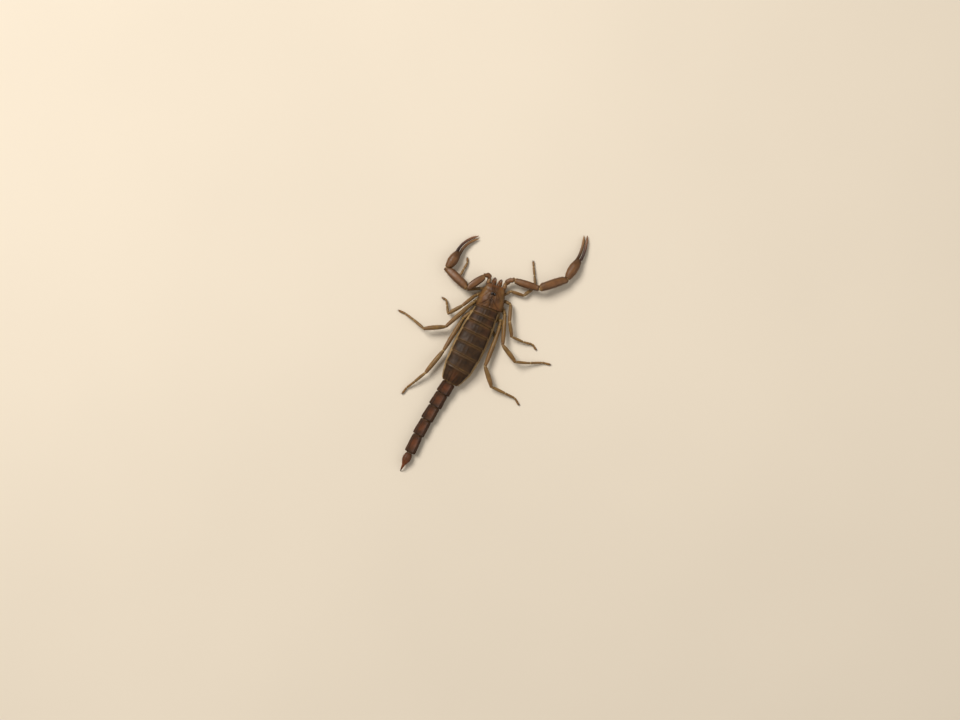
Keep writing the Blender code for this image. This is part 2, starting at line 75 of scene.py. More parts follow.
FINE = 2600  # triangles that a solid is cut into before its middle line is read
UP = np.array((0.0, 0.0, 1.0))
FLAT = np.array((1, 1, 0))
Array = np.ndarray
Triple = tuple[float, float, float]
Colour = Triple
Socket = bpy.types.NodeSocket
Inputs = dict[str | int, object]  # a value or a joined socket for each input of a node, by name or number
log = logging.getLogger("scorpion")


class Side(Enum):
    """The animal's two sides, with the sign of the sideways direction in its own frame."""

    LEFT = -1
    RIGHT = 1

    @property
    def word(self) -> str:
        """The side's name as the solids' names have it."""
        return self.name.lower()


class Mark(Enum):
    """Numbers kept at each point of a surface, which its finish or its granules read."""

    PALE = "pale"
    # darker colour: mostly the animal's own, but on the flanks' skin partly painted shade
    DARK = "dark"
    RUDDY = "ruddy"
    GRAIN = "grain"  # share of the scattered granules
    BEAD = "bead"  # radius of a granule that stands on the point itself


# ---------------------------------------------------------------- numbers


def unit(vectors: Array) -> Array:
    """The vectors at length one, and zero where they have no length."""
    return vectors / np.maximum(np.linalg.norm(vectors, axis=-1, keepdims=True), 1e-9)


def ease(x: Array | float, low: float, high: float) -> Array:
    """A smooth step from 0 at low to 1 at high, which may be below low."""
    share = np.clip((np.asarray(x, float) - low) / (high - low), 0.0, 1.0)
    return share * share * (3 - 2 * share)


def between(x: Array, low: float, high: float, soft: float) -> Array:
    """1 from low to high, falling to 0 over soft on each side."""
    return ease(x, low - soft, low + soft) * ease(x, high + soft, high - soft)


def bell(x: Array, width: float | Array) -> Array:
    """A bump of height 1 that is down to a third at the given width."""
    return np.exp(-((x / width) ** 2))


def turn(angles: Array) -> Array:
    """Angles in radians brought to between half a turn back and half a turn on."""
    return (angles + np.pi) % (2 * np.pi) - np.pi


def round_angles(count: int) -> Array:
    """Evenly spaced angles in radians, from half a turn back."""
    return np.linspace(-np.pi, np.pi, count, endpoint=False)


def wheel(out: Array, near: Array, count: int) -> Array:
    """Ways at right angles to out, evenly round it; the first one is at right angles to near too."""
    side = unit(np.cross(out, near))
    turns = np.linspace(0, 2 * np.pi, count, endpoint=False)[:, None]
    return np.cos(turns) * side + np.sin(turns) * np.cross(out, side)


def walked(points: Array) -> Array:
    """How far along their path the points lie."""
    return np.concatenate([[0.0], np.cumsum(np.linalg.norm(np.diff(points, axis=0), axis=1))])


def read_off(stations: Array | float, known: Array, values: Array) -> Array:
    """The values of the known stations, one row each, read off at other stations."""
    return np.stack([np.interp(stations, known, column) for column in values.T], axis=-1)


def blur(values: Array, sigma: float, axis: int, wrap: bool = False) -> Array:
    """Values smoothed along one axis.

    Args:
        values: Any array.
        sigma: Spread of the smoothing, in steps of the array.
        axis: The axis that is smoothed.
        wrap: Whether the axis closes on itself.

    Returns:
        A new array of the same shape.
    """
    if sigma <= 0.05:
        return values
    reach = int(3 * sigma + 1)
    weights = np.exp(-0.5 * (np.arange(-reach, reach + 1) / sigma) ** 2)
    pad = [(0, 0)] * values.ndim
    pad[axis] = (reach, reach)
    padded = np.pad(values, pad, mode="wrap" if wrap else "edge")
    size = values.shape[axis]
    total = np.zeros_like(values, dtype=float)
    for n, weight in enumerate(weights / weights.sum()):
        total += weight * np.take(padded, np.arange(n, n + size), axis)
    return total


def ripple(points: Array, size: float, seed: int) -> Array:
    """Soft random unevenness in space, roughly between -1 and 1, that changes over the given size."""
    dice = np.random.default_rng(seed)
    total = np.zeros(points.shape[:-1])
    for _ in range(WAVES):
        way = unit(dice.normal(size=3)) * dice.uniform(0.6, 1.5) * 2 * np.pi / (2.4 * size)
        total += np.sin(points @ way + dice.uniform(0, 2 * np.pi))
    return total / (WAVES / 2)


# ---------------------------------------------------------------- reading the solids


@dataclass
class Solid:
    """The surface of one or more solids, in millimetres."""

    points: Array
    faces: Array
    tree: BVHTree

    @property
    def middle(self) -> Array:
        """The middle of the surface."""
        a, b, c = np.moveaxis(self.points[self.faces], 1, 0)
        sizes = np.linalg.norm(np.cross(b - a, c - a), axis=1)
        return (self.points[self.faces].mean(axis=1) * sizes[:, None]).sum(axis=0) / sizes.sum()


@cache
def solid(*names: str) -> Solid:
    """The merged surface of the named solids, read once."""
    found, triangles, count = [], [], 0
    for name in names:
        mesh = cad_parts[name].data
        points = np.empty(len(mesh.vertices) * 3)
        mesh.vertices.foreach_get("co", points)
        mesh.calc_loop_triangles()
        faces = np.empty(len(mesh.loop_triangles) * 3, np.int32)
        mesh.loop_triangles.foreach_get("vertices", faces)
        points = np.round(points.reshape(-1, 3) / MM, 4)
        points, index = np.unique(points, axis=0, return_inverse=True)
        found.append(points)
        triangles.append(index.reshape(-1)[faces].reshape(-1, 3) + count)
        count += len(points)
    points, faces = np.concatenate(found), np.concatenate(triangles)
    return Solid(points, faces, BVHTree.FromPolygons(points.tolist(), faces.tolist()))


def cast(body: Solid, origins: Array, ways: Array, missed: float = np.nan) -> Array:
    """How far each ray goes before it meets the body, or missed."""
    ways = np.broadcast_to(ways, origins.shape)
    found = np.full(math.prod(origins.shape[:-1]), missed)
    rays = zip(origins.reshape(-1, 3).tolist(), ways.reshape(-1, 3).tolist())
    for n, (origin, way) in enumerate(rays):
        distance = body.tree.ray_cast(Vector(origin), Vector(way))[3]
        if distance is not None:
            found[n] = distance
    return found.reshape(origins.shape[:-1])


def faces_over(body: Solid, places: Array) -> tuple[Array, Array]:
    """How high the body's top and its underside lie over each place."""
    top = FAR - cast(body, places * FLAT + UP * FAR, -UP)
    return top, cast(body, places * FLAT - UP * FAR, UP) - FAR


def fill(values: Array) -> Array:
    """Values with each gap in a column filled from the rows before and after it."""
    rows = np.arange(len(values))
    for column in values.T:
        known = ~np.isnan(column)
        if known.any() and not known.all():
            column[~known] = np.interp(rows[~known], rows[known], column[known])
    return np.nan_to_num(values, nan=float(np.nanmean(values)))


def edges_of(faces: Array) -> tuple[Array, Array]:
    """Each edge of the triangles once, and which of them each side of a triangle is."""
    ends = np.concatenate([faces[:, [0, 1]], faces[:, [1, 2]], faces[:, [2, 0]]])
    return np.unique(np.sort(ends, axis=1), axis=0, return_inverse=True)


def split(points: Array, faces: Array) -> tuple[Array, Array]:
    """The triangles with each one cut into four at the middles of its edges."""
    edges, index = edges_of(faces)
    a, b, c = index.reshape(3, -1) + len(points)
    x, y, z = faces.T
    parts = [(x, a, c), (a, y, b), (c, b, z), (a, b, c)]
    middles = points[edges].mean(axis=1)
    return np.concatenate([points, middles]), np.concatenate([np.stack(p, axis=1) for p in parts])


def walk(points: Array, edges: Array, starts: Array) -> Array:
    """The shortest way over the edges from the nearest start to each point."""
    sizes = np.linalg.norm(points[edges[:, 0]] - points[edges[:, 1]], axis=1)
    near: list[list[tuple[int, float]]] = [[] for _ in points]
    for (a, b), size in zip(edges.tolist(), sizes.tolist()):
        near[a].append((b, size))
        near[b].append((a, size))
    far = np.full(len(points), np.inf)
    far[starts] = 0.0
    queue = [(0.0, int(n)) for n in starts]
    while queue:
        so_far, n = heapq.heappop(queue)
        if so_far > far[n]:
            continue
        for other, size in near[n]:
            if so_far + size < far[other]:
                far[other] = so_far + size
                heapq.heappush(queue, (so_far + size, other))
    return far


@dataclass
class Line:
    """A smooth curve along the middle of a limb or of the body."""

    points: Array

    def __post_init__(self) -> None:
        """Works out how far along each point lies, and the curve's way there."""
        self.stations = walked(self.points)
        self.length = float(self.stations[-1])
        self.ways = unit(np.gradient(self.points, self.stations, axis=0))

    @classmethod
    def through(cls, points: Array, spacing: float, spread: float) -> "Line":
        """A curve near the points, with its own points evenly spaced.

        Args:
            points: Places along the way.
            spacing: Distance between the curve's points.
            spread: Smoothing along the curve, in millimetres.

        Returns:
            The curve, from the first place to the last.
        """
        steps = np.linalg.norm(np.diff(points, axis=0), axis=1)
        points = points[np.concatenate([[True], steps > 1e-4])]
        stations = walked(points)
        count = max(int(stations[-1] / spacing) + 1, 6)
        made = read_off(np.linspace(0, stations[-1], count), stations, points)
        before, after = 2 * made[0] - made[::-1], 2 * made[-1] - made[::-1]
        long = np.concatenate([before[:-1], made, after[1:]])
        smooth = blur(long, min(spread / spacing, 3 * count), 0)[count - 1 : 2 * count - 1]
        smooth[0], smooth[-1] = made[0], made[-1]
        return cls(smooth)

    def at(self, stations: Array | float) -> tuple[Array, Array, Array, Array]:
        """The curve's middle, way on, way to the right and way up at each station."""
        s = np.atleast_1d(np.asarray(stations, float))
        inside = np.clip(s, 0, self.length)
        middle = read_off(inside, self.stations, self.points)
        way = unit(read_off(inside, self.stations, self.ways))
        side = unit(np.cross(way, UP))
        return middle + way * (s - inside)[..., None], way, side, np.cross(side, way)

    def spokes(self, stations: Array, angles: Array, flat: float = 1.0) -> tuple[Array, Array]:
        """The middle at each station, and the way out from it at each angle (0 is up, + is right)."""
        middle, _, side, up = self.at(stations)
        ways = np.cos(angles)[:, None] * up[:, None] * flat + np.sin(angles)[:, None] * side[:, None]
        return np.broadcast_to(middle[:, None], ways.shape), ways

    def rings(self, stations: Array, angles: Array, radii: Array, flat: float = 1.0) -> Array:
        """Points at the given distances from the curve, flattened from above where flat is below 1."""
        middles, ways = self.spokes(stations, angles, flat)
        return middles + ways * radii[..., None]

    def nearest(self, points: Array) -> tuple[Array, Array]:
        """(station, angle in radians) of each point as seen from the curve."""
        dense = np.linspace(0, self.length, 400)
        apart = np.linalg.norm(points[:, None] - self.at(dense)[0][None], axis=2)
        best = dense[apart.argmin(axis=1)]
        middle, _, side, up = self.at(best)
        out = points - middle
        return best, np.arctan2((out * side).sum(axis=1), (out * up).sum(axis=1))


def straight_line(name: str, before: str, after: str) -> Line:
    """The middle line of a short thick solid, which follows its two neighbours' middles."""
    middle = solid(name).middle
    way = unit(solid(after).middle - middle)
    if before != "tergite_7":
        way = unit(unit(middle - solid(before).middle) + way)
    reach = cast(solid(name), np.array([middle, middle]), np.array([-way, way]))
    return Line(middle + np.linspace(-reach[0], reach[1], 24)[:, None] * way)


def find_line(name: str, before: str | Array, spread: float = 0.3) -> Line:
    """The middle line of a limb's solid, starting where it meets the one before it.

    Args:
        name: The limb's solid.
        before: The solid, or the place, that the limb starts at.
        spread: Smoothing along the line.

    Returns:
        The line, from one end of the solid to the other.
    """
    body = solid(name)
    points, faces = body.points, body.faces
    while len(faces) < FINE:
        points, faces = split(points, faces)
    if isinstance(before, str):
        tree = solid(before).tree
        gaps = np.array([tree.find_nearest(Vector(p))[3] for p in points.tolist()])
    else:
        gaps = np.linalg.norm(points - before, axis=1)
    edges, _ = edges_of(faces)
    far = walk(points, edges, np.flatnonzero(gaps < gaps.min() + 0.15))
    a, b = far[edges[:, 0]], far[edges[:, 1]]
    levels, middles = np.linspace(0.03, 0.97, 36) * far.max(), []  # distances whose rings' middles are taken
    for level in levels:
        crossed = (a < level) != (b < level)
        share = ((level - a) / (b - a + 1e-12))[crossed, None]
        first, last = points[edges[crossed, 0]], points[edges[crossed, 1]]
        middles.append((first + (last - first) * share).mean(axis=0))
    path = np.array(middles)
    steps = np.linalg.norm(np.diff(path, axis=0), axis=1)
    kept = np.flatnonzero(steps > 0.45 * (levels[1] - levels[0]))
    line = Line.through(path[kept[0] : kept[-1] + 2], 0.2, spread)
    ends = [0, -1]
    for _ in range(2):
        origins, ways = line.spokes(line.stations, np.linspace(0, 2 * np.pi, 16, endpoint=False))
        centred = (origins + ways * fill(cast(body, origins, ways))[..., None]).mean(axis=1)
        centred[ends] = (centred[ends] + origins[ends, 0]) / 2
        line = Line.through(centred, 0.2, spread)
    outward = line.ways[ends] * ((-1,), (1,))
    reach = cast(body, line.points[ends], outward, 0.0)
    first, last = line.points[ends] + outward * np.maximum(reach, 0.02)[:, None]
    return Line.through(np.concatenate([[first], line.points, [last]]), 0.15, spread / 2)


@dataclass
class Field:
    """How far a surface lies from a line, at stations along it and angles round it."""

    stations: Array
    angles: Array
    values: Array

    def at(self, stations: Array, angles: Array) -> Array:
        """The distance at each pair of station and angle, which broadcast together."""
        s, angle = np.broadcast_arrays(stations, angles)
        count, size = self.values.shape
        last = count - 1.001  # leaves one more row beyond each reading
        rows = np.clip(np.interp(s, self.stations, np.arange(count)), 0, last)
        columns = (turn(angle) + np.pi) / (2 * np.pi) * size
        i, j = rows.astype(int), np.floor(columns).astype(int)
        u, v = rows - i, columns - j
        near, far = self.values[i, j % size], self.values[i, (j + 1) % size]
        below, beyond = self.values[i + 1, j % size], self.values[i + 1, (j + 1) % size]
        return (near * (1 - v) + far * v) * (1 - u) + (below * (1 - v) + beyond * v) * u

    def even_angles(self, low: float, high: float, step: float) -> Array:
        """Angles in radians that are evenly far apart on the surface."""
        fine = np.linspace(low, high, 400)
        radius = self.at(self.stations.mean(), fine)
        lengths = np.hypot(np.gradient(radius), radius * np.gradient(fine))
        far = np.concatenate([[0.0], np.cumsum((lengths[1:] + lengths[:-1]) / 2)])
        return np.interp(np.linspace(0, far[-1], max(int(far[-1] / step), 12) + 1), far, fine)


def read_field(
    line: Line,
    body: Solid,
    spacing: float,
    spokes: int,
    inset: float,
    outside: float = 0.0,
    spread: float = 0.2,
    soft: float = 12.0,
    bridge: float = 0.0,
) -> Field:
    """Measures a surface all round a line.

    Args:
        line: The line that the distances are from.
        body: What is measured.
        spacing: Distance between stations.
        spokes: Number of angles.
        inset: How far from each end the first and last stations lie.
        outside: Where the rays start, for what is met first from outside; 0 measures from the line itself.
        spread: Smoothing along the line, in millimetres.
        soft: Smoothing round the line, in degrees.
        bridge: Width of cuts that are bridged before the smoothing.

    Returns:
        The smoothed distances.
    """
    count = max(int((line.length - 2 * inset) / spacing) + 1, 6)
    stations, angles = np.linspace(inset, line.length - inset, count), round_angles(spokes)
    origins, ways = line.spokes(stations, angles)
    if outside:
        values = fill(outside - cast(body, origins + ways * outside, -ways))
    else:
        values = fill(cast(body, origins, ways))
    step = stations[1] - stations[0]
    for _ in range(round(bridge / step)):
        padded = np.pad(values, ((1, 1), (0, 0)), mode="edge")
        values = np.maximum(np.maximum(padded[:-2], padded[2:]), values)
    values = blur(values, spread / step, 0)
    return Field(stations, angles, blur(values, math.radians(soft) / (2 * np.pi / spokes), 1, wrap=True))


# ---------------------------------------------------------------- surfaces


def cells(index: Array) -> Array:
    """The four-sided faces between rows and columns of point numbers."""
    corners = [index[:-1, :-1], index[:-1, 1:], index[1:, 1:], index[1:, :-1]]
    return np.stack(corners, axis=-1).reshape(-1, 4)


@dataclass
class Surface:
    """A closed mesh in the making, in millimetres, with its marks."""

    points: Array
    quads: Array
    triangles: Array
    marks: dict[str, Array] = field(default_factory=dict)

    @classmethod
    def joined(cls, parts: Iterable["Surface"]) -> "Surface":
        """Several surfaces as one."""
        parts = list(parts)
        starts = np.cumsum([0] + [len(p.points) for p in parts])
        names = {name for p in parts for name in p.marks}
        return cls(
            np.concatenate([p.points for p in parts]),
            np.concatenate([p.quads + n for p, n in zip(parts, starts)]),
            np.concatenate([p.triangles + n for p, n in zip(parts, starts)]),
            {k: np.concatenate([p.marks.get(k, np.zeros(len(p.points))) for p in parts]) for k in names},
        )

    def mark(self, kind: Mark, values: Array | float) -> "Surface":
        """The surface with a mark of those values, or of one value all over."""
        self.marks[kind.value] = np.broadcast_to(values, len(self.points))
        return self

    def outward(self) -> "Surface":
        """The closed surface with its faces turned to point out."""
        a, b, c, d = (self.points[self.quads[:, k]] for k in range(4))
        volume = (np.cross(a, b) * c).sum() + (np.cross(a, c) * d).sum()
        if len(self.triangles):
            a, b, c = (self.points[self.triangles[:, k]] for k in range(3))
            volume += (np.cross(a, b) * c).sum()
        if volume < 0:
            self.quads, self.triangles = self.quads[:, ::-1], self.triangles[:, ::-1]
        return self

    def mesh(self, name: str) -> bpy.types.Mesh:
        """The surface as a mesh in metres, smooth shaded, its marks as attributes."""
        made = bpy.data.meshes.new(name)
        points = self.points * MM
        points[:, 2] = np.maximum(points[:, 2], 0.0)
        made.from_pydata(points.tolist(), [], self.quads.tolist() + self.triangles.tolist())
        made.polygons.foreach_set("use_smooth", np.ones(len(made.polygons), bool))
        for mark in Mark:
            values = self.marks.get(mark.value, np.zeros(len(points)))
            attribute = made.attributes.new(mark.value, "FLOAT", "POINT")
            attribute.data.foreach_set("value", np.clip(values, 0, 10).astype(np.float32))
        made.update()
        return made


@dataclass
class Grid:
    """Rings of points along a limb, or rows of points over a plate, still open to shaping."""

    points: Array
    stations: Array
    angles: Array
    radii: Array
    length: float
    closed: bool = True
    marks: dict[str, Array] = field(default_factory=dict)

    @property
    def along(self) -> Array:
        """How far along each row is, as a column."""
        return self.stations[:, None]

    @property
    def share(self) -> Array:
        """How far along each row is, from 0 to 1, as a column."""
        return (self.stations / self.length)[:, None]

    @property
    def degrees(self) -> Array:
        """The angle of each column, as a row."""
        return np.degrees(self.angles)[None, :]

    def normals(self) -> Array:
        """The way out of the surface at each point."""
        along = np.gradient(self.points, axis=0)
        if self.closed:
            around = np.roll(self.points, -1, axis=1) - np.roll(self.points, 1, axis=1)
        else:
            around = np.gradient(self.points, axis=1)
        return unit(np.cross(around, along))

    def raise_by(self, heights: Array) -> None:
        """Moves each point out of the surface by its height."""
        self.points = self.points + self.normals() * heights[..., None]

    def mark(self, mark: Mark, values: Array) -> None:
        """Sets a mark where the values are above what is there."""
        before = self.marks.get(mark.value, np.zeros(self.points.shape[:2]))
        self.marks[mark.value] = np.maximum(before, np.broadcast_to(values, before.shape))

    def arc(self, degrees: float) -> Array:
        """Distance round the surface from the line at that angle, with its sign."""
        return turn(self.angles[None, :] - math.radians(degrees)) * self.radii

    def spot(self, station: float, angle: float) -> tuple[Array, Array]:
        """The surface point and the way out nearest to a station and an angle in radians."""
        row = self.points[np.abs(self.stations - station).argmin()]
        point = row[np.abs(turn(self.angles - angle)).argmin()]
        return point, unit(point - row.mean(axis=0))

    def tube(self) -> Surface:
        """The closed surface, with its first and last rings drawn together to a point each."""
        rows, columns = self.points.shape[0] - 2, self.points.shape[1]
        poles = np.stack([self.points[0].mean(axis=0), self.points[-1].mean(axis=0)])
        index = np.arange(rows * columns).reshape(rows, columns)
        index = np.concatenate([index, index[:, :1]], axis=1)
        start = np.full(columns, rows * columns)
        first = np.stack([start, index[0, 1:], index[0, :-1]], axis=-1)
        last = np.stack([index[-1, :-1], index[-1, 1:], start + 1], axis=-1)
        marks = {}
        for name, values in self.marks.items():
            inner = values[1:-1].reshape(-1)
            marks[name] = np.concatenate([inner, inner[[0, -1]]])
        points = np.concatenate([self.points[1:-1].reshape(-1, 3), poles])
        return Surface(points, cells(index), np.concatenate([first, last]), marks)

    def shell(self, thickness: float) -> Surface:
        """The closed plate that has this grid as its outer face."""
        count = self.radii.size
        inner = self.points - self.normals() * thickness
        index = np.arange(count).reshape(self.radii.shape)
        under = index + count
        faces = [cells(index)]
        faces.append(faces[0][:, ::-1] + count)
        rims = [(under[0], index[0]), (index[-1], under[-1])]
        rims += [(index[:, 0], under[:, 0]), (under[:, -1], index[:, -1])]
        faces += [np.stack([a[:-1], a[1:], b[1:], b[:-1]], axis=-1) for a, b in rims]
        marks = {name: np.tile(values.reshape(-1), 2) for name, values in self.marks.items()}
        for kind in (Mark.GRAIN, Mark.BEAD):
            if kind.value in marks:
                marks[kind.value][count:] = 0
        points = np.concatenate([self.points.reshape(-1, 3), inner.reshape(-1, 3)])
        return Surface(points, np.concatenate(faces), np.zeros((0, 3), int), marks)


def closed(rings: Array) -> Surface:
    """The closed surface through rings of points."""
    size = rings.shape[:2]
    return Grid(rings, np.arange(size[0]), round_angles(size[1]), np.ones(size), 1.0).tube()


def cap_stations(length: float, step: float, caps: tuple[float, float]) -> tuple[Array, Array]:
    """Stations from end to end and how much of its girth the limb has there, with rounded ends."""
    quarter = np.linspace(0, np.pi / 2, 7)
    first = caps[0] * (1 - np.cos(quarter))
    last = length - caps[1] * (1 - np.cos(quarter[::-1]))
    count = max(int((last[0] - first[-1]) / step), 3)
    middle = np.linspace(first[-1], last[0], count + 1)[1:-1]
    girth = np.concatenate([np.sin(quarter), np.ones(len(middle)), np.sin(quarter[::-1])])
    return np.concatenate([first, middle, last]), girth


def curved_tube(points: Array, radii: Array, spokes: int, spacing: float = 0.05, flat: float = 1) -> Surface:
    """A closed horn or cord along a few points.

    Args:
        points: Places that the middle passes near.
        radii: Girth at each place; the ends are rounded off.
        spokes: Points round it.
        spacing: Distance between rings.
        flat: Height of its cross-section for each unit of width.

    Returns:
        The closed surface.
    """
    far = walked(points)
    line = Line.through(points, spacing, far[-1] / len(points) * 0.6)
    caps = (min(radii[0], line.length / 3), min(radii[-1], line.length / 3))
    stations, girth = cap_stations(line.length, spacing, caps)
    radius = np.interp(stations / line.length, far / far[-1], radii) * girth
    return closed(line.rings(stations, round_angles(spokes), radius[:, None], flat))


def dome(middle: Array, out: Array, radius: float, height: float, spokes: int) -> Surface:
    """A small closed lens that stands on a surface.

    Args:
        middle: The centre of its foot.
        out: The way out of the surface.
        radius: Of its foot.
        height: Of its top above its foot.
        spokes: Points round it.

    Returns:
        The closed surface, which goes as far into the surface as its height.
    """
    out = unit(out)
    rise = np.linspace(-np.pi / 2, np.pi / 2, 9)[:, None, None]
    ring = wheel(out, (0.3, 0.9, 0.2), spokes)
    return closed(middle + ring[None] * (np.cos(rise) * radius) + (np.sin(rise) * height) * out).outward()


# ---------------------------------------------------------------- finishes


class Nodes:
    """Adds nodes to a shader or geometry tree and joins them up."""

    def __init__(self, tree: bpy.types.NodeTree) -> None:
        """Takes the tree to work on."""
        self.tree = tree

    def give(self, node: bpy.types.Node, inputs: Inputs) -> None:
        """Sets or joins inputs of a node, by their names or numbers."""
        for key, value in inputs.items():
            if isinstance(value, Socket):
                self.tree.links.new(value, node.inputs[key])
            else:
                node.inputs[key].default_value = value

    def add(self, kind: str, inputs: Inputs | None = None, **settings: object) -> bpy.types.Node:
        """A new node.

        Args:
            kind: Blender's name for the node's type.
            inputs: Value or joined socket for each input, by its name or number.
            **settings: Properties of the node itself.

        Returns:
            The node.
        """
        node = self.tree.nodes.new(kind)
        for name, value in settings.items():
            setattr(node, name, value)
        self.give(node, inputs or {})
        return node

    def sum(self, operation: str, first: object, second: object) -> Socket:
        """One step of arithmetic."""
        return self.add("ShaderNodeMath", {0: first, 1: second}, operation=operation).outputs[0]

    def product(self, first: object, second: object) -> Socket:
        """One number times another."""
        return self.sum("MULTIPLY", first, second)

    def span(self, value: object, low: float, high: float, *reach: float) -> Socket:
        """A number stretched from one range to another, 0 to 1 unless given, and held at its ends."""
        to_low, to_high = reach or (0.0, 1.0)
        inputs = {0: value, 1: low, 2: high, 3: to_low, 4: to_high}
        return self.add("ShaderNodeMapRange", inputs).outputs[0]


class Shade(Nodes):
    """A new material in the making."""

    def __init__(self, name: str) -> None:
        """Makes the plain material."""
        self.material = bpy.data.materials.new(name)
        self.material.use_nodes = True
        super().__init__(self.material.node_tree)
        self.shader = self.tree.nodes["Principled BSDF"]
        self.place = self.add("ShaderNodeTexCoord").outputs["Object"]

    def noise(self, scale: float, detail: float, roughness: float = 0.5) -> Socket:
        """Soft unevenness, from 0 to 1."""
        inputs = {"Vector": self.place, "Scale": scale, "Detail": detail, "Roughness": roughness}
        return self.add("ShaderNodeTexNoise", inputs).outputs[0]

    def mark(self, kind: Mark) -> Socket:
        """One of the surface's own marks."""
        return self.add("ShaderNodeAttribute", attribute_name=kind.value).outputs["Fac"]

    def tint(self, colour: Socket | Colour, other: Colour, share: Socket) -> Socket:
        """The colour with a share of another one."""
        first = colour if isinstance(colour, Socket) else (*colour, 1.0)
        return self.add("ShaderNodeMix", {0: share, 6: first, 7: (*other, 1.0)}, data_type="RGBA").outputs[2]

    def done(self, colour: Socket, roughness: Socket | float, inputs: Inputs) -> bpy.types.Material:
        """The material with its colour, its roughness and the shader's other inputs."""
        self.give(self.shader, {"Base Color": colour, "Roughness": roughness, **inputs})
        return self.material

    def relief(self, depth: float, height: Socket) -> Socket:
        """The way out of a surface with that depth of relief."""
        inputs = {"Strength": 0.6, "Distance": depth * MM, "Height": height}
        return self.add("ShaderNodeBump", inputs).outputs[0]


@dataclass(frozen=True)
class Cuticle:
    """Horny shell: mottled, lightly glossy, finely pitted, with its own shades at joints, keels and bands."""

    name: str
    base: Colour
    deep: Colour
    ruddy: Colour
    pale: Colour
    roughness: float = 0.36
    mottle: float = 1300.0  # patches per metre
    mottling: float = 0.75
    pitting: float = 0.05  # depth of the fine pits
    coat: float = 0.08
    shine: float = 0.4
    glow: float = 0.03

    def material(self) -> bpy.types.Material:
        """The finish as a material."""
        shade = Shade(self.name)
        patches = shade.span(shade.noise(self.mottle, 5.0, 0.62), 0.36, 0.64, 0.0, self.mottling)
        colour = shade.tint(self.base, self.deep, patches)
        fleck = shade.span(shade.noise(self.mottle * 5.5, 3.0, 0.55), 0.56, 0.72, 0.0, 0.5)
        colour = shade.tint(colour, self.ruddy, shade.product(fleck, 0.6))
        uneven = shade.span(shade.noise(self.mottle * 2.1, 3.0, 0.55), 0.3, 0.7, 0.55, 1.0)
        darkest = tuple(0.42 * c for c in self.deep)
        for kind, other in ((Mark.RUDDY, self.ruddy), (Mark.PALE, self.pale), (Mark.DARK, darkest)):
            colour = shade.tint(colour, other, shade.product(shade.mark(kind), uneven))
        gloss = shade.noise(self.mottle * 1.7, 4.0, 0.55)
        fine = shade.product(shade.noise(13000.0, 1.0, 0.55), 0.8)
        pits = shade.sum("ADD", shade.noise(4200.0, 2.0, 0.55), fine)
        inputs = {
            "Normal": shade.relief(self.pitting, pits),
            "Coat Weight": self.coat,
            "Coat Roughness": 0.28,
            "Specular IOR Level": self.shine,
            "Subsurface Weight": self.glow,
            "Subsurface Radius": (1.0, 0.45, 0.2),
            "Subsurface Scale": 0.25 * MM,
        }
        rough = shade.span(gloss, 0.3, 0.7, self.roughness - 0.07, self.roughness + 0.12)
        return shade.done(colour, rough, inputs)


@dataclass(frozen=True)
class Membrane:
    """The soft skin of the flanks and joints: leathery, finely wrinkled, mottled."""

    name: str
    base: Colour
    shade: Colour
    dusk: Colour
    roughness: float = 0.52

    def material(self) -> bpy.types.Material:
        """The finish as a material."""
        shade = Shade(self.name)
        cloudy, fine = shade.noise(900.0, 5.0), shade.noise(6500.0, 4.0)
        colour = shade.tint(self.base, self.shade, shade.span(cloudy, 0.38, 0.64, 0.0, 0.85))
        colour = shade.tint(colour, self.dusk, shade.span(fine, 0.6, 0.74, 0.0, 0.55))
        inputs = {"Vector": shade.place, "Scale": 7000.0}
        net = shade.add("ShaderNodeTexVoronoi", inputs, feature="DISTANCE_TO_EDGE")
        wrinkles = shade.sum("ADD", shade.span(net.outputs[0], 0.0, 0.25), shade.product(fine, 0.8))
        inputs = {
            "Normal": shade.relief(0.045, wrinkles),
            "Subsurface Weight": 0.12,
            "Subsurface Radius": (1.0, 0.55, 0.28),
            "Subsurface Scale": 0.35 * MM,
        }
        # the dark mark: dark joints and patches of the skin's own, and on the flanks also painted shade in
        # the folds and under the back plates' edges
        colour = shade.tint(colour, self.dusk, shade.mark(Mark.DARK))
        rough = shade.span(cloudy, 0.3, 0.7, self.roughness - 0.06, self.roughness + 0.1)
        return shade.done(colour, rough, inputs)


@dataclass(frozen=True)
class Lens:
    """The hard shine of an eye."""

    name: str
    base: Colour

    def material(self) -> bpy.types.Material:
        """The finish as a material."""
        shade = Shade(self.name)
        depth = shade.noise(5000.0, 3.0)
        colour = shade.tint(self.base, tuple(2.6 * c for c in self.base), shade.span(depth, 0.4, 0.7))
        inputs = {"Coat Weight": 0.5, "Coat Roughness": 0.04}
        return shade.done(colour, shade.span(depth, 0.3, 0.7, 0.05, 0.13), inputs)


